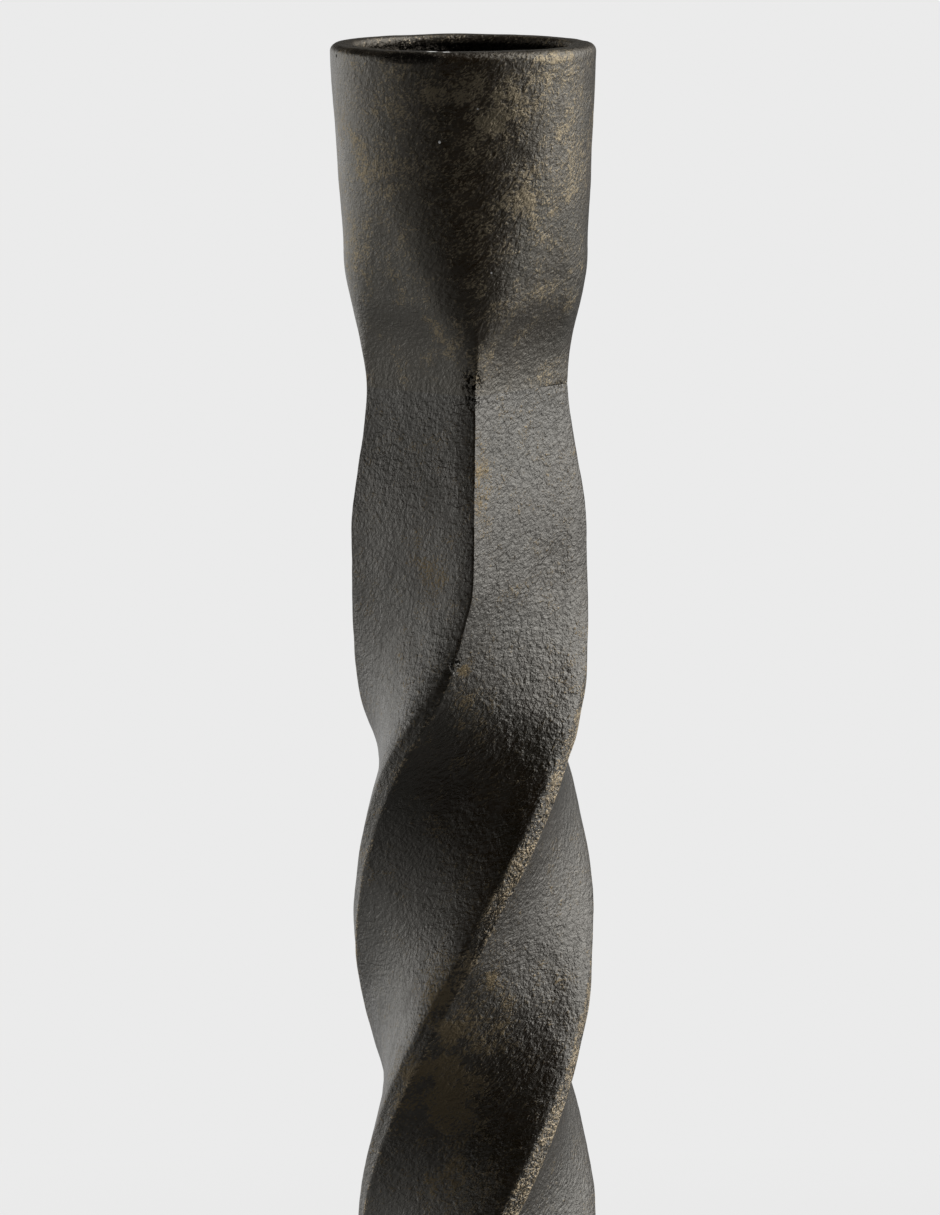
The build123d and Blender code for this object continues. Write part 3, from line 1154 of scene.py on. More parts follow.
    def _sheet(self, name: str, sizes: Sequence[Named]) -> tuple[Group, Socket, Socket, Socket]:
        """Starts a tree that rolls a flat sheet of points into a tube.

        Args:
            name: The tree's name.
            sizes: Its inputs that are sizes.

        Returns:
            The tree, the sheet, and a point's place across and along it, from -0.5 to 0.5.
        """
        counts = [Named("Points Around", SocketKind.COUNT), Named("Rows", SocketKind.COUNT)]
        material = Named("Material", SocketKind.MATERIAL)
        geometry = Named("Geometry", SocketKind.GEOMETRY)
        group = Group(name, TreeKind.GEOMETRY, [*sizes, *counts, material], [geometry])
        columns = group.plus(group["Points Around"], 1.0)
        grid = group.add("GeometryNodeMeshGrid", {"Size X": 1.0, "Size Y": 1.0, "Vertices X": columns,
                                                  "Vertices Y": group["Rows"]})
        across, along, _ = group.split(group.add("GeometryNodeInputPosition").outputs[0])
        return group, grid.outputs["Mesh"], across, along

    def _rolled(self, group: Group, sheet: Socket, place: Socket, weld: float) -> Group:
        """Ends a tree: the sheet is rolled up, welded, smooth, made real and given its finish.

        Args:
            group: The tree.
            sheet: The sheet.
            place: Where each of its points goes.
            weld: Points that are closer than this become one.

        Returns:
            The tree.
        """
        formed = group.add("GeometryNodeSetPosition", {"Geometry": sheet, "Position": place}).outputs[0]
        closed = group.add("GeometryNodeMergeByDistance", {"Geometry": formed, "Distance": weld}).outputs[0]
        smooth = group.add("GeometryNodeSetShadeSmooth", {0: closed}).outputs[0]
        real = group.add("GeometryNodeRealizeInstances", {0: smooth}).outputs[0]
        dressed = group.add("GeometryNodeSetMaterial", {0: real, "Material": group["Material"]})
        group.give("Geometry", dressed.outputs[0])
        return group

    def _bar(self) -> Group:
        """The twisted square bar: straight and waisted at both ends, twisted and bevelled between them.

        Returns:
            The group.
        """
        corner_sizes = ("Left Radius", "Left Turn", "Right Radius", "Right Turn")
        sizes = numbers("Top", "Length", "Neck Reach", "Shoulder Distance", "Shoulder Reach", "Bar Reach",
                        *(f"End {name}" for name in corner_sizes), *(f"Bar {name}" for name in corner_sizes),
                        "Bevel Width", "Bevel Turn", "Bar Blend", "Straight Length", "Quarter Turn Length",
                        "Twist Ease", "Start Turn", "Lead Turn", "Lag Turn", "Lag Length", "Seat Depth",
                        "Crease Wear")
        group, sheet, across, along = self._sheet("Twisted square bar", sizes)
        length, straight = group["Length"], group["Straight Length"]
        from_top = group.times(group.minus(0.5, along), length)
        from_bottom = group.minus(length, from_top)
        from_end = group.math("MINIMUM", from_top, from_bottom)
        shoulder = group.span(from_end, 0.0, group["Shoulder Distance"])
        bar = group.span(from_end, straight, group.plus(straight, group["Bar Blend"]))
        reach = group.mixed(shoulder, group["Neck Reach"], group["Shoulder Reach"])
        bevel = group.times(bar, group["Bevel Width"])
        corner = {"Reach": group.mixed(bar, reach, group["Bar Reach"]), "Bevel Width": bevel,
                  "Bevel Turn": group["Bevel Turn"]}
        for name in corner_sizes:
            corner[name] = group.mixed(bar, group[f"End {name}"], group[f"Bar {name}"])
        quarters = group.times(group.plus(across, 0.5), 4.0)
        outline = self.corner.place_in(group, Share=group.math("FRACT", quarters))
        for name, value in corner.items():
            group.feed(outline.inputs[name], value)
        easing = group["Twist Ease"]
        entered = group.minus(from_top, straight)
        left = group.minus(from_top, group.minus(length, straight))
        entered = self.eased.place_in(group, Length=entered, Ease=easing).outputs[0]
        left = self.eased.place_in(group, Length=left, Ease=easing).outputs[0]
        turned = group.minus(entered, left)
        turned = group.math("DIVIDE", turned, group["Quarter Turn Length"])
        turned = group.minus(group.math("FLOOR", quarters), turned)
        angle = group.times_plus(turned, QUARTER, group["Start Turn"])
        lead = group.span(from_top, 0.0, straight, group["Lead Turn"], 0.0, Ramp.EVEN)
        lag_end = group.plus(straight, group["Lag Length"])
        lag_middle = group.times_plus(group["Lag Length"], self.LAG_MIDDLE, straight)
        lag = group.span(from_top, straight, lag_middle, 0.0, group["Lag Turn"])
        lag = group.times(lag, group.span(from_top, lag_middle, lag_end, 1.0, 0.0))
        angle = group.plus(group.plus(angle, lead), lag)
        feeds = {"Vector": outline.outputs["Point"], "Angle": angle}
        turned_point = group.add("ShaderNodeVectorRotate", feeds, rotation_type="Z_AXIS").outputs[0]
        height = group.minus(group["Top"], from_top)
        place = group.vector("ADD", turned_point, group.joined(0.0, 0.0, height))
        on_right, distance = outline.outputs["On Right"], outline.outputs["Corner Distance"]
        worn = group.span(distance, 0.0, group["Crease Wear"], 1.0, 0.0)
        band_end = group.times_plus(bevel, self.BAND_END, self.BAND_SPARE)
        band = group.span(distance, group.times(bevel, self.BAND_FADE), band_end, start=1.0, end=0.0)
        band = group.times(band, group.minus(1.0, on_right))
        free = group.times(group["Seat Depth"], 2.0)
        rough = group.span(from_bottom, group["Seat Depth"], free)
        rough = group.times(rough, group.span(from_top, 0.0, free))
        signed = group.times(distance, group.times_plus(on_right, 2.0, -1.0))
        signed = group.plus(signed, group.math("FLOOR", quarters))
        for name, value in ((Attribute.WEAR, group.times(worn, bar)), (Attribute.SKIN, rough),
                            (Attribute.BAND, group.times(band, bar)), (Attribute.ACROSS, signed)):
            feeds = {"Geometry": sheet, "Name": name.value, "Value": value}
            sheet = group.add("GeometryNodeStoreNamedAttribute", feeds, data_type="FLOAT",
                              domain="POINT").outputs[0]
        return self._rolled(group, sheet, place, weld=0.01 * MM)

    def _thread(self) -> Group:
        """A right-handed screw thread, with a cone at each end.

        Returns:
            The group.
        """
        sizes = numbers("Bottom", "Length", "Radius", "Pitch", "Depth", "Lower Cone", "Upper Cone")
        group, sheet, across, along = self._sheet("Screw thread", sizes)
        turn = group.plus(across, 0.5)
        length, radius = group["Length"], group["Radius"]
        rise = group.times(group.plus(along, 0.5), length)
        phase = group.minus(group.math("DIVIDE", rise, group["Pitch"]), turn)
        phase = group.math("FRACT", group.plus(phase, 1.0))
        flank = group.times(group.math("ABSOLUTE", group.minus(phase, 0.5)), 2.0)
        groove = group.span(flank, low=0.15, high=0.85, ramp=Ramp.EVEN)
        reach = group.minus(radius, group.times(groove, group["Depth"]))
        lower = group.plus(group.minus(radius, group["Lower Cone"]), rise)
        upper = group.minus(group.plus(radius, length), rise)
        upper = group.minus(upper, group["Upper Cone"])
        reach = group.math("MINIMUM", reach, group.math("MINIMUM", lower, upper))
        angle = group.times(turn, math.tau)
        x = group.times(group.math("COSINE", angle), reach)
        y = group.times(group.math("SINE", angle), reach)
        place = group.joined(x, y, group.plus(group["Bottom"], rise))
        return self._rolled(group, sheet, place, weld=0.001 * MM)


def new_piece(name: str, mesh: bpy.types.Mesh) -> bpy.types.Object:
    """Puts a mesh in the scene as a piece at the origin.

    Args:
        name: The piece's name.
        mesh: Its mesh.

    Returns:
        The piece.
    """
    piece = bpy.data.objects.new(name, mesh)
    bpy.context.scene.collection.objects.link(piece)
    return piece


def applied(piece: bpy.types.Object, group: Group, values: dict[str, object]) -> None:
    """Runs a node tree on a piece and keeps the result as its plain mesh.

    Args:
        piece: The piece, whose mesh is replaced.
        group: The geometry tree.
        values: The tree's inputs by name.
    """
    modifier = piece.modifiers.new(group.tree.name, "NODES")
    modifier.node_group = group.tree
    for name, value in values.items():
        group.set_input(modifier, name, value)
    graph = bpy.context.evaluated_depsgraph_get()
    mesh = bpy.data.meshes.new_from_object(piece.evaluated_get(graph))
    mesh.name = piece.name
    piece.modifiers.remove(modifier)
    old = piece.data
    piece.data = mesh
    bpy.data.meshes.remove(old)


def end_loops(mesh: bmesh.types.BMesh) -> tuple[list[bmesh.types.BMVert], list[bmesh.types.BMVert]]:
    """The open ends of a tube round the Z axis.

    Args:
        mesh: The tube.

    Returns:
        The lower and the upper ring of points, each in order round the axis.
    """
    open_points = [vert for vert in mesh.verts if vert.is_boundary]
    middle = sum(vert.co.z for vert in open_points) / len(open_points)
    by_angle = sorted(open_points, key=lambda vert: math.atan2(vert.co.y, vert.co.x))
    lower = [vert for vert in by_angle if vert.co.z < middle]
    upper = [vert for vert in by_angle if vert.co.z >= middle]
    return lower, upper


def close_end(mesh: bmesh.types.BMesh, loop: list[bmesh.types.BMVert],
              rings: Sequence[tuple[Callable[[float], float], float]], pole: float) -> None:
    """Closes an open end with rings and a point on the axis.

    Args:
        mesh: The mesh that the end belongs to.
        loop: The end's points in order round the axis.
        rings: For each ring, its radius at an angle, and its height.
        pole: Height of the last point.
    """
    last = loop
    for radius, height in rings:
        ring = []
        for vert in last:
            angle = math.atan2(vert.co.y, vert.co.x)
            reach = radius(angle)
            ring.append(mesh.verts.new((reach * math.cos(angle), reach * math.sin(angle), height)))
        for index in range(len(ring)):
            before = index - 1
            mesh.faces.new((last[before], last[index], ring[index], ring[before]))
        last = ring
    tip = mesh.verts.new((0, 0, pole))
    for index in range(len(last)):
        mesh.faces.new((last[index - 1], last[index], tip))


def dress(piece: bpy.types.Object, material: bpy.types.Material, sharp: float) -> None:
    """Gives a piece its one material and smooth faces with sharp creases.

    Args:
        piece: The piece.
        material: Its finish.
        sharp: Faces that meet at more than this angle, in degrees, keep a crease.
    """
    piece.data.materials.clear()
    piece.data.materials.append(material)
    for face in piece.data.polygons:
        face.use_smooth = True
        face.material_index = 0
    piece.data.set_sharp_from_angle(angle=math.radians(sharp))


def seat(piece: bpy.types.Object, node: str) -> None:
    """Ties a piece to the frame in place of a node, and reports it.

    Args:
        piece: The piece.
        node: The node that it replaces.
    """
    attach(piece, BODY)
    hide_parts(node)
    log.info("%s: %d faces, for %s", piece.name, len(piece.data.polygons), node)


@dataclass
class CastSkin:
    """How rough a casting is, in its real shape."""

    lift: float = 0.0
    ripple_size: float = 7.0 * MM
    ripple_depth: float = 0.22 * MM
    dent_size: float = 11.0 * MM
    dent_depth: float = 0.20 * MM
    seam_place: Vector = field(default_factory=Vector)
    seam_reach: float = 0.6 * MM
    seam_spread: float = 5.0 * MM
    seam_depth: float = 0.0
    seed: float = 1.0

    def values(self) -> dict[str, object]:
        """The tree's inputs by name."""
        return tree_values(self, [each.name for each in fields(self)])


@dataclass
class Neck:
    """The square neck where cup and stem meet, and the stud inside it."""

    width: float = 15.8 * MM
    corner_radius: float = 0.8 * MM
    crease: Corner = Corner(9.0 * MM, math.radians(17), 1.2 * MM, math.radians(6))
    lead_turn: float = math.radians(3)
    hole_radius: float = 3.05 * MM
    hole_depth: float = 12.0 * MM
    point_depth: float = 1.8 * MM

    def reach(self) -> float:
        """Distance from the axis to the neck's corner."""
        return corner_reach(self.width, self.corner_radius)


@dataclass
class CandleCup:
    """Round cup with a blind socket, whose wall draws in to the square neck."""

    neck: Neck
    rim_radius: float = 14.3 * MM
    outer_edge: float = 0.8 * MM
    inner_edge: float = 0.5 * MM
    taper_depth: float = 22.0 * MM
    taper_radius: float = 13.1 * MM
    round_depth: float = 13.0 * MM
    square_depth: float = 34.0 * MM
    soft_corner: float = 5.0 * MM
    crease_depth: float = 27.0 * MM
    rim_tilt: float = math.radians(0.7)
    tilt_depth: float = 9.0 * MM
    socket_radius: float = 11.5 * MM
    socket_depth: float = 20.0 * MM
    floor_radius: float = 4.0 * MM
    outer_step: float = math.radians(15)
    inner_step: float = math.radians(22.5)
    floor_step: float = math.radians(9)
    seam_fade: float = 4.5 * MM
    rim_cast: float = 0.6
    # Painted shade on the rim's top and its inner lip; the socket takes it in full.
    rim_soot: float = 0.8
    lip_wear: float = 0.3
    lip_soot: float = 0.4
    points_around: int = 208
    spacing: float = 0.42 * MM
    bottom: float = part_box("candle_cup")[0].z
    top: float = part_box("candle_cup")[1].z

    def reach(self, depth: float) -> float:
        """Distance from the axis to the round wall, or to the corner, below the rim.

        Args:
            depth: Depth below the rim.

        Returns:
            The distance.
        """
        tapered = blend(self.rim_radius, self.taper_radius, min(depth / self.taper_depth, 1.0))
        share = (depth - self.taper_depth) / (self.top - self.bottom - self.taper_depth)
        return blend(tapered, self.neck.reach(), ease(share))

    def level(self, depth: float) -> Section:
        """The cup's outline below the rim.

        Args:
            depth: Depth below the rim.

        Returns:
            The outline.
        """
        reach = self.reach(depth)
        square = ease((depth - self.round_depth) / (self.square_depth - self.round_depth))
        sharp = ease((depth - self.crease_depth) / (self.top - self.bottom - self.crease_depth))
        corner = Corner.round(reach).towards(Corner.round(self.soft_corner), square)
        return Section(self.top - depth, reach, corner.towards(self.neck.crease, sharp),
                       CORNER_TURN + self.neck.lead_turn)

    def mesh(self) -> bpy.types.Mesh:
        """Draws the cup from the stud's hole over the wall and the rim to the socket's floor.

        Returns:
            The cup's mesh.
        """
        skin = RingSkin(self.points_around)
        hole_top = self.bottom + self.neck.hole_depth
        skin.pole(hole_top + self.neck.point_depth)
        for height in (hole_top, self.bottom):
            skin.row(Row(Section.circle(height, self.neck.hole_radius), cast=0.0))
        height = self.top - self.bottom
        for depth in steps(height, self.outer_edge, self.spacing):
            skin.row(Row(self.level(depth), cast=ease((height - depth) / self.seam_fade)))
        edge_radius = self.reach(self.outer_edge)
        # Painted shade grows over the outer edge's round onto the rim's top.
        for angle in steps(0.0, QUARTER, self.outer_step)[1:]:
            radius = edge_radius - self.outer_edge * (1 - math.cos(angle))
            height = self.top - self.outer_edge * (1 - math.sin(angle))
            soot = self.rim_soot * ease(angle / QUARTER)
            skin.row(Row(Section.circle(height, radius), cast=self.rim_cast, soot=soot))
        flat_outer = edge_radius - self.outer_edge
        flat_inner = self.socket_radius + self.inner_edge
        for radius in steps(flat_outer, flat_inner, self.spacing)[1:]:
            skin.row(Row(Section.circle(self.top, radius), cast=self.rim_cast, soot=self.rim_soot))
        for angle in steps(0.0, QUARTER, self.inner_step)[1:]:
            radius = flat_inner - self.inner_edge * math.sin(angle)
            height = self.top - self.inner_edge * (1 - math.cos(angle))
            skin.row(Row(Section.circle(height, radius), self.rim_cast, self.lip_wear, self.lip_soot))
        # The socket's wall and floor take full painted shade.
        floor = self.top - self.socket_depth
        for height in steps(self.top - self.inner_edge, floor + self.floor_radius, self.spacing)[1:]:
            skin.row(Row(Section.circle(height, self.socket_radius), soot=1.0))
        for angle in steps(0.0, QUARTER, self.floor_step)[1:]:
            radius = self.socket_radius - self.floor_radius * (1 - math.cos(angle))
            height = floor + self.floor_radius * (1 - math.sin(angle))
            skin.row(Row(Section.circle(height, radius), soot=1.0))
        for radius in steps(self.socket_radius - self.floor_radius, self.spacing, 2 * self.spacing)[1:]:
            skin.row(Row(Section.circle(floor, radius), soot=1.0))
        skin.pole(floor, soot=1.0)
        return self.tilted(skin.finish("candle_cup_casting"))

    def tilted(self, mesh: bpy.types.Mesh) -> bpy.types.Mesh:
        """Lets the rim lean down a little to the right, as a hand-finished casting does.

        Args:
            mesh: The cup's mesh.

        Returns:
            The same mesh.
        """
        slope = math.tan(self.rim_tilt)
        for vert in mesh.vertices:
            share = ease(1 - (self.top - vert.co.z) / self.tilt_depth)
            vert.co.z -= slope * (vert.co.x + self.rim_radius) * share
        return mesh

    def build(self, shapes: GeometryGroups, roughness: CastSkin, material: bpy.types.Material) -> None:
        """Builds the cup, roughens it and dresses it.

        Args:
            shapes: The geometry trees.
            roughness: How rough the casting is.
            material: Its finish.
        """
        piece = new_piece("candle_cup_casting", self.mesh())
        applied(piece, shapes.cast, roughness.values())
        dress(piece, material, CASTING_CREASE)
        seat(piece, "candle_cup")


@dataclass
class TwistedStem:
    """Square bar, straight at both ends and twisted between them, with a bevel along each ridge."""

    neck: Neck
    shoulder_distance: float = 16.0 * MM
    shoulder_width: float = 18.3 * MM
    shoulder_corner: float = 0.6 * MM
    bar_reach: float = 12.76 * MM
    bar_crease: Corner = Corner(9.0 * MM, math.radians(17), 3.0 * MM, math.radians(8))
    bevel_width: float = 2.05 * MM
    bevel_turn: float = math.radians(52)
    bar_blend: float = 14.0 * MM
    straight_length: float = 23.0 * MM
    quarter_turns: int = 6
    twist_ease: float = 7.0 * MM
    lag_turn: float = math.radians(4.5)
    lag_length: float = 18.0 * MM
    crease_wear: float = 0.45 * MM
    bolt_hole_depth: float = 23.8 * MM
    seat_depth: float = 2.0 * MM
    points_around: int = 192
    rows: int = 500
    bottom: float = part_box("twisted_stem")[0].z
    top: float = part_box("twisted_stem")[1].z

    def values(self, material: bpy.types.Material) -> dict[str, object]:
        """The tree's inputs by name.

        Args:
            material: The stem's finish.

        Returns:
            The values.
        """
        length = self.top - self.bottom
        quarter = (length - 2 * self.straight_length) / self.quarter_turns
        shoulder_reach = corner_reach(self.shoulder_width, self.shoulder_corner)
        own = ("top", "shoulder_distance", "bar_reach", "bevel_width", "bevel_turn", "bar_blend",
               "straight_length", "twist_ease", "lag_turn", "lag_length", "seat_depth", "crease_wear",
               "points_around", "rows")
        sides = ("left_radius", "left_turn", "right_radius", "right_turn")
        return {"Length": length, "Neck Reach": self.neck.reach(), "Shoulder Reach": shoulder_reach,
                "Quarter Turn Length": quarter, "Start Turn": CORNER_TURN, "Lead Turn": self.neck.lead_turn,
                "Material": material, **tree_values(self, own),
                **tree_values(self.neck.crease, sides, "End "), **tree_values(self.bar_crease, sides, "Bar ")}

    def drill_ends(self, piece: bpy.types.Object) -> None:
        """Closes both ends, each with its tapped hole.

        Args:
            piece: The stem, with open ends.
        """
        mesh = bmesh.new()
        mesh.from_mesh(piece.data)
        lower, upper = end_loops(mesh)
        hole = self.neck.hole_radius
        floor = self.top - self.neck.hole_depth
        close_end(mesh, upper, [(lambda _: hole, self.top), (lambda _: hole, floor)],
                  floor - self.neck.point_depth)
        roof = self.bottom + self.bolt_hole_depth
        close_end(mesh, lower, [(lambda _: hole, self.bottom), (lambda _: hole, roof)],
                  roof + self.neck.point_depth)
        bmesh.ops.recalc_face_normals(mesh, faces=mesh.faces)
        mesh.to_mesh(piece.data)
        mesh.free()

    def build(self, shapes: GeometryGroups, roughness: CastSkin, material: bpy.types.Material) -> None:
        """Builds the stem, roughens it and dresses it.

        Args:
            shapes: The geometry trees.
            roughness: How rough the casting is.
            material: Its finish.
        """
        piece = new_piece("twisted_stem_casting", bpy.data.meshes.new("twisted_stem_casting"))
        applied(piece, shapes.bar, self.values(material))
        applied(piece, shapes.cast, roughness.values())
        self.drill_ends(piece)
        dress(piece, material, CASTING_CREASE)
        seat(piece, "twisted_stem")


@dataclass
class Foot:
    """Low domed disc that flares up to a collar, with the stem's seat above and the felt's recess below."""

    neck: Neck
    radius: float = 55.0 * MM
    edge_height: float = 6.5 * MM
    edge_radius: float = 2.5 * MM
    lower_edge: float = 1.0 * MM
    crown_rise: float = 2.6 * MM
    collar_radius: float = 15.0 * MM
    flare_radius: float = 5.0 * MM
    collar_edge: float = 1.5 * MM
    seat_clearance: float = 0.15 * MM
    recess_radius: float = 50.3 * MM
    recess_depth: float = 1.0 * MM
    counterbore_radius: float = 7.5 * MM
    bolt_hole_radius: float = 3.3 * MM
    web: float = 5.0 * MM
    lower_step: float = math.radians(30)
    edge_step: float = math.radians(12)
    flare_step: float = math.radians(7.5)
    collar_step: float = math.radians(15)
    collar_rings: int = 3
    edge_wear: float = 0.8
    points_around: int = 384
    spacing: float = 0.9 * MM
    bottom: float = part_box("foot")[0].z
    top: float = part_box("foot")[1].z
    stem_bottom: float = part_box("twisted_stem")[0].z

    def dome(self, share: float) -> tuple[float, float]:
        """Radius and height on the dome, from the outer edge to the flare, on an arc that ends level.

        Args:
            share: 0 at the outer edge, 1 at the flare.

        Returns:
            The radius and the height.
        """
        outer, inner = self.radius - self.edge_radius, self.collar_radius + self.flare_radius
        slope = math.atan2(self.crown_rise, outer - inner)
        arc_radius = (outer - inner) / math.sin(2 * slope)
        angle = 2 * slope * (1 - share)
        crown = self.bottom + self.edge_height + self.crown_rise
        return inner + arc_radius * math.sin(angle), crown - arc_radius * (1 - math.cos(angle))

    def mesh(self) -> bpy.types.Mesh:
        """Draws the foot from the bolt's hole over the underside, the edge, the dome and the collar.

        Returns:
            The foot's mesh.
        """
        skin = RingSkin(self.points_around)
        roof = self.stem_bottom - self.web
        recess = self.bottom + self.recess_depth
        lower_radius = self.radius - self.lower_edge
        for radius, height in ((self.bolt_hole_radius, roof), (self.counterbore_radius, roof),
                               (self.counterbore_radius, recess), (self.recess_radius, recess),
                               (self.recess_radius, self.bottom), (lower_radius, self.bottom)):
            skin.row(Row(Section.circle(height, radius), cast=0.0))
        for angle in steps(0.0, QUARTER, self.lower_step)[1:]:
            radius = self.radius - self.lower_edge * (1 - math.sin(angle))
            height = self.bottom + self.lower_edge * (1 - math.cos(angle))
            skin.row(Row(Section.circle(height, radius)))
        shoulder = self.bottom + self.edge_height - self.edge_radius
        for height in steps(self.bottom + self.lower_edge, shoulder, self.spacing)[1:]:
            skin.row(Row(Section.circle(height, self.radius)))
        for angle in steps(0.0, QUARTER, self.edge_step)[1:]:
            radius = self.radius - self.edge_radius * (1 - math.cos(angle))
            height = shoulder + self.edge_radius * math.sin(angle)
            skin.row(Row(Section.circle(height, radius), wear=self.edge_wear * math.sin(2 * angle)))
        width = self.radius - self.edge_radius - self.collar_radius - self.flare_radius
        for share in steps(0.0, 1.0, self.spacing / width)[1:]:
            radius, height = self.dome(share)
            skin.row(Row(Section.circle(height, radius)))
        crown = self.bottom + self.edge_height + self.crown_rise
        for angle in steps(0.0, QUARTER, self.flare_step)[1:]:
            radius = self.collar_radius + self.flare_radius * (1 - math.sin(angle))
            height = crown + self.flare_radius * (1 - math.cos(angle))
            skin.row(Row(Section.circle(height, radius)))
        for angle in steps(0.0, QUARTER, self.collar_step)[1:]:
            radius = self.collar_radius - self.collar_edge * (1 - math.cos(angle))
            height = self.top - self.collar_edge * (1 - math.sin(angle))
            skin.row(Row(Section.circle(height, radius), wear=self.edge_wear * math.sin(2 * angle)))
        collar_flat = self.collar_radius - self.collar_edge
        seat_reach = self.neck.reach() + self.seat_clearance
        seat_corner = Corner.round(self.neck.corner_radius)
        for share in steps(0.0, 1.0, 1 / self.collar_rings)[1:]:
            corner = Corner.round(collar_flat).towards(seat_corner, share)
            skin.row(Row(Section(self.top, blend(collar_flat, seat_reach, share), corner), cast=1 - share))
        skin.row(Row(Section(self.stem_bottom, seat_reach, seat_corner), cast=0.0))
        skin.row(Row(Section.circle(self.stem_bottom, self.bolt_hole_radius), cast=0.0))
        skin.close()
        return skin.finish("foot_casting")

    def build(self, shapes: GeometryGroups, roughness: CastSkin, material: bpy.types.Material) -> None:
        """Builds the foot, roughens it and dresses it.

        Args:
            shapes: The geometry trees.
            roughness: How rough the casting is.
            material: Its finish.
        """
        piece = new_piece("foot_casting", self.mesh())
        applied(piece, shapes.cast, roughness.values())
        dress(piece, material, CASTING_CREASE)
        seat(piece, "foot")


@dataclass
class Fasteners:
    """The stud in the neck, and the bolt with its two washers under the foot."""

    thread_radius: float = 3.0 * MM
    pitch: float = 1.0 * MM
    thread_depth: float = 0.6 * MM
    end_cone: float = 0.8 * MM
    head_width: float = 10.0 * MM
    head_height: float = 4.0 * MM
    head_chamfer: float = 0.6 * MM
    chamfer_rings: int = 4
    points_around: int = 48
    rows_per_turn: int = 10

    def threaded(self, name: str, bottom: float, top: float, cones: tuple[float, float],
                 shapes: GeometryGroups, material: bpy.types.Material) -> bpy.types.Object:
        """Cuts a thread, with open ends.

        Args:
            name: The piece's name.
            bottom: Where the thread begins.
            top: Where the thread ends.
            cones: How far the lower and the upper end taper.
            shapes: The geometry trees.
            material: Its finish.

        Returns:
            The threaded piece.
        """
        piece = new_piece(name, bpy.data.meshes.new(name))
        rows = round((top - bottom) / self.pitch * self.rows_per_turn) + 1
        applied(piece, shapes.thread, {
            "Bottom": bottom, "Length": top - bottom, "Radius": self.thread_radius, "Pitch": self.pitch,
            "Depth": self.thread_depth, "Lower Cone": cones[0], "Upper Cone": cones[1],
            "Points Around": self.points_around, "Rows": rows, "Material": material})
        return piece

    def hexagon(self, angle: float) -> float:
        """Distance from the axis to the bolt head's side at an angle."""
        side = math.radians(60)
        return self.head_width / 2 / math.cos((angle + side / 2) % side - side / 2)

    def close_ends(self, piece: bpy.types.Object, head_top: float | None) -> None:
        """Closes both ends of a thread, the lower one with a bolt's head where it has one.

        Args:
            piece: The threaded piece.
            head_top: Where the head's upper face is, if there is a head.
        """
        mesh = bmesh.new()
        mesh.from_mesh(piece.data)
        lower, upper = end_loops(mesh)
        close_end(mesh, upper, [], upper[0].co.z)
        rings: list[tuple[Callable[[float], float], float]] = []
        end = lower[0].co.z
        if head_top is not None:
            end = head_top - self.head_height
            rings += [(self.hexagon, head_top), (self.hexagon, end + self.head_chamfer)]
            crown = self.head_width / math.sqrt(3)
            for share in steps(0.0, 1.0, 1 / self.chamfer_rings)[1:]:
                limit = crown - self.head_chamfer * share
                height = end + self.head_chamfer * (1 - share)
                rings.append((lambda angle, most=limit: min(self.hexagon(angle), most), height))
        close_end(mesh, lower, rings, end)
        bmesh.ops.recalc_face_normals(mesh, faces=mesh.faces)
        mesh.to_mesh(piece.data)
        mesh.free()

    def build(self, shapes: GeometryGroups, material: bpy.types.Material) -> None:
        """Builds the stud and the bolt, and dresses the washers that the frame already holds.

        Args:
            shapes: The geometry trees.
            material: Their finish.
        """
        low, high = (corner.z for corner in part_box("cup_stud"))
        stud = self.threaded("cup_stud_threaded", low, high, (self.end_cone, self.end_cone), shapes, material)
        self.close_ends(stud, None)
        dress(stud, material, STEEL_CREASE)
        seat(stud, "cup_stud")
        low, high = (corner.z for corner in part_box("foot_bolt"))
        head_top = low + self.head_height
        bolt = self.threaded("foot_bolt_threaded", head_top, high, (0.0, self.end_cone), shapes, material)
        self.close_ends(bolt, head_top)
        dress(bolt, material, STEEL_CREASE)
        seat(bolt, "foot_bolt")
        for node in ("spring_washer", "flat_washer"):
            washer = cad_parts[node]
            washer.data.materials.clear()
            washer.data.materials.append(material)
            log.info("%s: the frame's own shape, dressed", node)


@dataclass
class FeltPad:
    """Felt disc glued under the foot, with a soft cut edge."""

    radius: float = 50.0 * MM
    edge_radius: float = 0.5 * MM
    edge_step: float = math.radians(22.5)
    top_nap: float = 0.3
    spacing: float = 1.0 * MM
    points_around: int = 320
    bottom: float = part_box("felt_pad")[0].z
    top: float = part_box("felt_pad")[1].z

    def mesh(self) -> bpy.types.Mesh:
        """Draws the disc from the middle of its underside over the edge to the middle of its top.

        Returns:
            The disc's mesh.
        """
        skin = RingSkin(self.points_around)
        flat = self.radius - self.edge_radius
        skin.pole(self.bottom)
        for radius in steps(self.spacing, flat, self.spacing):
            skin.row(Row(Section.circle(self.bottom, radius)))
        for angle in steps(0.0, QUARTER, self.edge_step)[1:]:
            radius = flat + self.edge_radius * math.sin(angle)
            height = self.bottom + self.edge_radius * (1 - math.cos(angle))
            skin.row(Row(Section.circle(height, radius)))
        for angle in steps(0.0, QUARTER, self.edge_step):
            radius = flat + self.edge_radius * math.cos(angle)
            height = self.top - self.edge_radius * (1 - math.sin(angle))
            skin.row(Row(Section.circle(height, radius), cast=self.top_nap))
        skin.pole(self.top)
        return skin.finish("felt_pad_disc")

    def build(self, shapes: GeometryGroups, roughness: CastSkin, material: bpy.types.Material) -> None:
        """Builds the pad, gives it its uneven nap and dresses it.

        Args:
            shapes: The geometry trees.
            roughness: How uneven the felt is.
            material: Its finish.
        """
        piece = new_piece("felt_pad_disc", self.mesh())
        applied(piece, shapes.cast, roughness.values())
        dress(piece, material, CASTING_CREASE)
        seat(piece, "felt_pad")


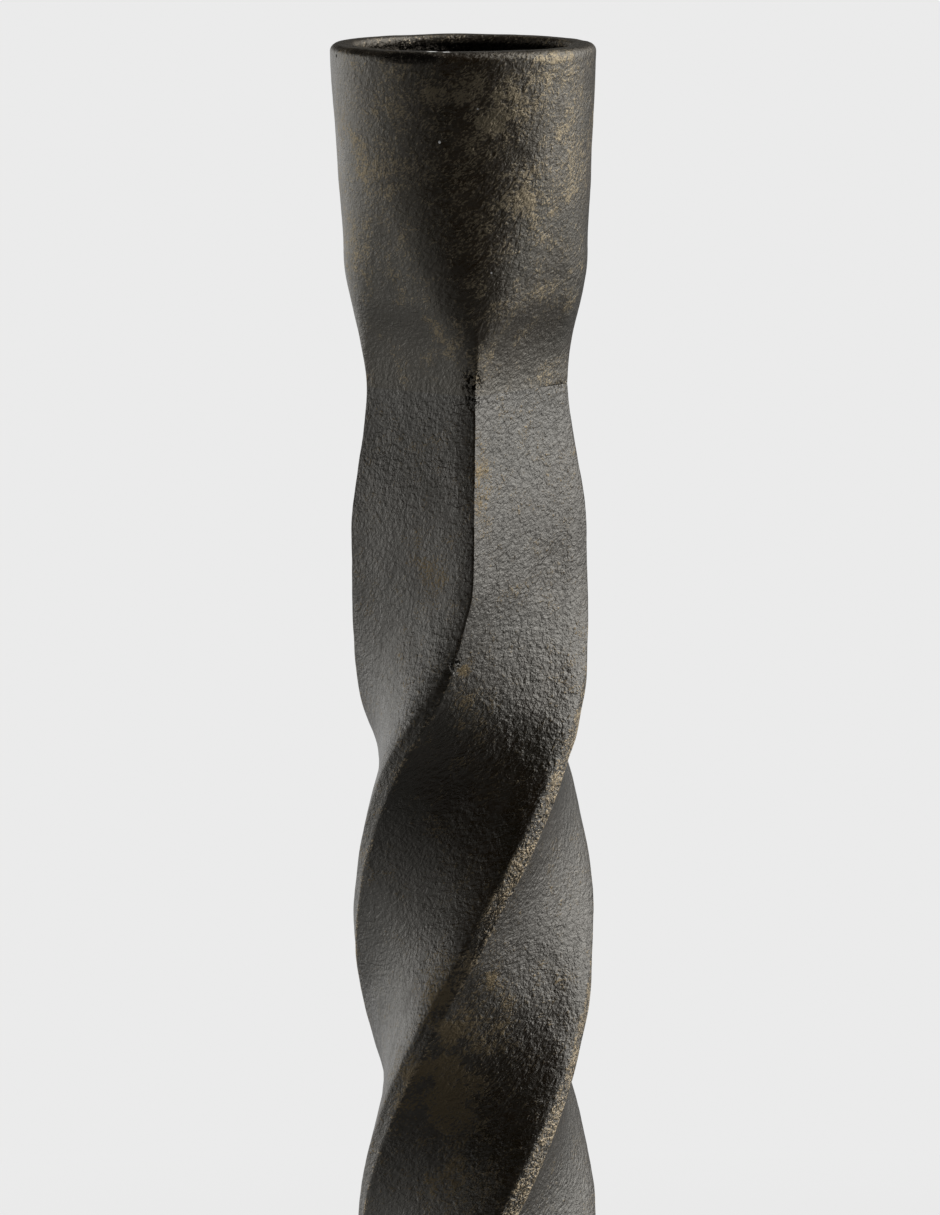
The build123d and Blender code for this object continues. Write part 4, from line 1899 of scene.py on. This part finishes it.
@dataclass(frozen=True)
class Softbox:
    """A flat lamp that faces a point on the stem's axis."""

    name: str
    azimuth: float
    elevation: float
    distance: float
    width: float
    height: float
    radiance: float
    target: float = 0.25

    def build(self) -> None:
        """Hangs the lamp."""
        lamp = bpy.data.lights.new(self.name, "AREA")
        lamp.shape = "RECTANGLE"
        lamp.size = self.width
        lamp.size_y = self.height
        lamp.energy = self.radiance * math.pi * self.width * self.height
        holder = bpy.data.objects.new(self.name, lamp)
        level = self.distance * math.cos(math.radians(self.elevation))
        rise = self.distance * math.sin(math.radians(self.elevation))
        holder.location = around_axis(self.azimuth, level, self.target + rise)
        towards = Vector((0, 0, self.target)) - holder.location
        holder.rotation_euler = towards.to_track_quat("-Z", "Y").to_euler()
        holder.visible_camera = False
        holder.visible_glossy = False
        bpy.context.scene.collection.objects.link(holder)


@dataclass(frozen=True)
class Glow:
    """A soft bright area of the surroundings: a softbox, a reflector or a lit wall."""

    azimuth: float
    elevation: float
    flatness: float
    core: float
    spread: float
    radiance: float

    def level(self, graph: Graph, direction: Socket) -> Socket:
        """Its brightness in a direction.

        Args:
            graph: The world's tree.
            direction: Where a ray goes.

        Returns:
            The brightness.
        """
        squash = Vector((1.0, 1.0, self.flatness))
        rise = math.radians(self.elevation)
        middle = around_axis(self.azimuth, math.cos(rise), math.sin(rise)) * squash
        flattened = graph.vector("NORMALIZE", graph.vector("MULTIPLY", direction, squash))
        angle = graph.math("ARCCOSINE", graph.measure("DOT_PRODUCT", flattened, middle.normalized()))
        core, end = math.radians(self.core), math.radians(self.core + self.spread)
        return graph.span(angle, core, end, start=self.radiance, end=0.0)


@dataclass
class Studio:
    """Pale floor and backdrop, and surroundings that are bright at both sides and dim in front."""

    paleness: float = 0.83
    front_level: float = 0.002
    below_level: float = 0.09
    glows: tuple[Glow, ...] = (
        Glow(azimuth=103, elevation=38, flatness=0.8, core=0, spread=60, radiance=2.45),
        Glow(azimuth=109, elevation=9, flatness=1.2, core=46, spread=40, radiance=0.18),
        Glow(azimuth=-134, elevation=-3, flatness=3.0, core=14, spread=47, radiance=0.92),
        Glow(azimuth=-77, elevation=-8, flatness=1.5, core=6, spread=53, radiance=0.20),
        Glow(azimuth=-94, elevation=-42, flatness=1.0, core=8, spread=32, radiance=0.17),
        Glow(azimuth=87, elevation=-2, flatness=0.9, core=18, spread=14, radiance=0.44),
    )
    floor_radius: float = 12.0
    backdrop_height: float = 9.0
    backdrop_sides: int = 64
    shadow_reach: float = 0.45
    floor_blend: float = 0.9
    lamp: Softbox = Softbox("ceiling_light", azimuth=0, elevation=85, distance=1.5, width=1.6, height=1.6,
                            radiance=2.2)

    def build_world(self) -> None:
        """Surroundings: the sum of the glows over a dim room that is a little lighter below."""
        world = bpy.data.worlds.new("studio_surroundings")
        bpy.context.scene.world = world
        world.use_nodes = True
        graph = Graph(world.node_tree)
        direction = graph.add("ShaderNodeTexCoord").outputs["Generated"]
        up = graph.split(direction)[2]
        level = graph.span(up, -1.0, 0.0, start=self.below_level, end=self.front_level, ramp=Ramp.EVEN)
        for glow in self.glows:
            level = graph.plus(level, glow.level(graph, direction))
        graph.feed(world.node_tree.nodes["Background"].inputs["Color"], level)

    def build_floor(self) -> None:
        """Pale floor that keeps the shadow near the holder, with a round backdrop further out."""
        skin = bmesh.new()
        rings = []
        angles = [360 * side / self.backdrop_sides for side in range(self.backdrop_sides)]
        for height in (0.0, self.backdrop_height):
            rings.append([skin.verts.new(around_axis(angle, self.floor_radius, height)) for angle in angles])
        skin.faces.new(rings[0])
        for side in range(self.backdrop_sides):
            skin.faces.new((rings[0][side - 1], rings[0][side], rings[1][side], rings[1][side - 1]))
        mesh = bpy.data.meshes.new("floor")
        skin.to_mesh(mesh)
        skin.free()
        floor = new_piece("floor", mesh)
        mesh.materials.append(self.floor_material())
        # The photographed metal mirrors lit walls and a dim room, not the table, so only the camera sees
        # the floor.
        floor.visible_glossy = False
        floor.visible_diffuse = False
        floor.visible_shadow = False

    def floor_material(self) -> bpy.types.Material:
        """Pale paint near the holder, and the same pale colour, evenly lit, further out.

        Returns:
            The material.
        """
        material = bpy.data.materials.new("pale_floor")
        material.use_nodes = True
        graph = Graph(material.node_tree)
        material.node_tree.nodes.remove(material.node_tree.nodes["Principled BSDF"])
        pale = (self.paleness, self.paleness, self.paleness, 1.0)
        paint = graph.add("ShaderNodeBsdfDiffuse", {"Color": pale}).outputs[0]
        glow = graph.add("ShaderNodeEmission", {"Color": pale}).outputs[0]
        away = graph.measure("LENGTH", graph.add("ShaderNodeTexCoord").outputs["Object"])
        far = graph.span(away, self.shadow_reach, self.floor_blend)
        path = graph.add("ShaderNodeLightPath").outputs
        seen = graph.most(path["Is Camera Ray"], path["Is Glossy Ray"])
        seen = graph.most(seen, path["Is Transmission Ray"])
        mixed = graph.add("ShaderNodeMixShader", {0: graph.times(far, seen), 1: paint, 2: glow})
        graph.feed(material.node_tree.nodes["Material Output"].inputs["Surface"], mixed.outputs[0])
        return material

    def build(self) -> None:
        """Sets up the surroundings, the floor and the lamp."""
        self.build_world()
        self.build_floor()
        self.lamp.build()
        bpy.context.scene.view_settings.view_transform = "Standard"


@dataclass
class PhotoCamera:
    """Long lens at the photograph's place, a little above the rim and looking slightly down."""

    distance: float = 0.900
    above_rim: float = 0.0677
    aim_below_rim: float = 0.06118
    roll: float = -0.7
    lens: float = 249.4
    sensor: float = 36.0

    def build(self) -> None:
        """Places the camera and makes it the scene's own."""
        camera = bpy.data.cameras.new("photo_camera")
        camera.lens = self.lens
        camera.sensor_width = self.sensor
        holder = bpy.data.objects.new("photo_camera", camera)
        holder.location = (0, -self.distance, RIM + self.above_rim)
        aim = Vector((0, 0, RIM - self.aim_below_rim)) - holder.location
        turn = aim.to_track_quat("-Z", "Y").to_matrix()
        roll = Matrix.Rotation(math.radians(self.roll), 3, "Z")
        holder.rotation_euler = (turn @ roll).to_euler()
        bpy.context.scene.collection.objects.link(holder)
        bpy.context.scene.camera = holder


def cup_finish() -> CastFinish:
    """The cup's finish, with the marks that the photograph shows.

    Returns:
        The finish.
    """
    return CastFinish(
        "patinated_cup",
        sheen=(1.0, 0.945, 0.83, 1.0),
        oxide_ior=2.26,
        body=(0.021, 0.0125, 0.0048, 1.0),
        gold=(0.43, 0.36, 0.25, 1.0),
        rub_cover=0.6,
        thin_rub=0.38,
        rubs=(
            Spot(-40, 14, 10, (12, 12, 12), 0.5, 0.4),
            Spot(40, 14, 12, (12, 12, 14), 0.55, 0.4),
            Spot(160, 14, 10, (20, 12, 12), 0.6, 0.4),
            Spot(24, 14, 6, (7.5, 8, 7), 0.9, 0.4),
            # Painted highlight: pale rubbed metal along the rim's top right-hand edge.
            Spot(42, 14, 1, (4, 5, 1.2), 1.0, 0.4),
            Spot(27, 14, 15, (7, 8, 7), 0.9, 0.3),
            Spot(14, 14, 21, (4.5, 6, 4), 0.6),
            Spot(9, 13, 28, (4, 6, 3), 0.8),
            Spot(-28, 14, 2.5, (6, 7, 2.5), 0.6),
            Spot(-30, 14, 20, (8, 8, 6), 0.5),
            Spot(-24, 13, 24, (2.5, 5, 2), 0.7),
            Spot(-4, 12, 30, (1.6, 5, 5), 0.7),
            Spot(4, 14, 14, (6, 8, 13), 0.55, 0.4),
            Spot(-6, 14, 4, (7, 7, 3.5), 0.8, 0.3),
        ),
        # Painted shade: the dark band under the front-left lip.
        stains=(Spot(-25, 14.2, 0.7, (6, 4, 0.9), 0.9, 0.5),),
        pits=(
            Spot(-60, 13, 27, (0.4, 0.8, 0.4)),
            Spot(-37, 12.2, 27.6, (0.45, 2, 0.45), 1.0, 0.3),
        ),
        pitted=(
            Spot(3, 11, 35.5, (1.5, 3, 2), 1.0, 0.2),
            Spot(82, 11, SEAM_DEPTH, (2, 2.5, 0.7), 1.0, 0.2),
        ),
        dust=(
            Spot(-11, 13.7, 9.6, (0.16, 1, 0.2), 1.0, 0.6),
            Spot(6, 14, 6.1, (0.12, 1, 0.12), 0.7, 0.6),
            Spot(12, 13, 23.6, (0.12, 1, 0.12), 0.7, 0.6),
            # The last two are white specks on the rim's inner front edge.
            Spot(-15, 12.7, 0.2, (0.8, 0.7, 0.6), 0.9, 0.4),
            Spot(-8, 12.7, 0.2, (0.6, 0.7, 0.6), 0.9, 0.4),
        ),
    )


def stem_finish() -> CastFinish:
    """The stem's finish, with the marks that the photograph shows.

    Returns:
        The finish.
    """
    return CastFinish(
        "patinated_stem",
        gold=(0.29, 0.23, 0.145, 1.0),
        rub_cover=0.6,
        thin_rub=0.1,
        grain_height=0.32 * MM,
        streak_strength=0.08,
        worn=(
            Spot(65, 13, 72, (10, 14, 16), 1.0, 0.5),
            Spot(40, 13, 120, (9, 12, 14), 0.9, 0.5),
        ),
        rubs=(
            Spot(8, 12, 46, (1.5, 4, 9), 0.75, 0.3),
            Spot(-27, 12, 55, (6, 7, 8), 0.9),
            Spot(-35, 11, 43, (6, 6, 5), 0.6),
            Spot(-3, 12.6, 66.3, (1.2, 2, 1.1), 1.0, 0.4),
            Spot(2, 11, 71, (4, 6, 5), 0.7),
            Spot(-4, 11, 103, (7, 9, 9), 1.0, 0.4),
            Spot(-20, 11, 112, (8, 9, 9), 0.9, 0.3),
            Spot(-10, 11, 122, (9, 9, 7), 0.6, 0.2),
        ),
        pits=(Spot(-62, 11.5, 55, (0.6, 2, 0.6), 1.0, 0.3),),
        pitted=(
            Spot(3, 11, SEAM_DEPTH, (0.9, 3, 1.8), 1.0, 0.2),
            Spot(-8, 12.6, 65.6, (0.7, 2, 1), 1.0, 0.3),
            Spot(82, 11, SEAM_DEPTH, (2, 2.5, 0.7), 1.0, 0.2),
        ),
    )


def main() -> None:
    """Builds the holder's pieces in order, then the studio and the camera."""
    logging.basicConfig(level=logging.INFO, format="%(message)s")
    surfaces = ShaderGroups()
    shapes = GeometryGroups()
    neck = Neck()
    cup = CandleCup(neck)
    cast_skin = CastSkin(lift=0.13 * MM, seam_place=around_axis(80, neck.reach(), cup.bottom),
                         seam_depth=0.18 * MM)
    cup.build(shapes, cast_skin, cup_finish().material(surfaces))
    TwistedStem(neck).build(shapes, cast_skin, stem_finish().material(surfaces))
    Foot(neck).build(shapes, CastSkin(), CastFinish("patinated_foot", rub_cover=0.3).material(surfaces))
    Fasteners().build(shapes, SteelFinish("zinc_plated_steel").material(surfaces))
    nap = CastSkin(ripple_size=2.5 * MM, ripple_depth=0.15 * MM, dent_depth=0.05 * MM, seed=3.0)
    FeltPad().build(shapes, nap, FeltFinish("pressed_felt").material(surfaces))
    Studio().build()
    PhotoCamera().build()


if __name__ == "__main__":
    main()
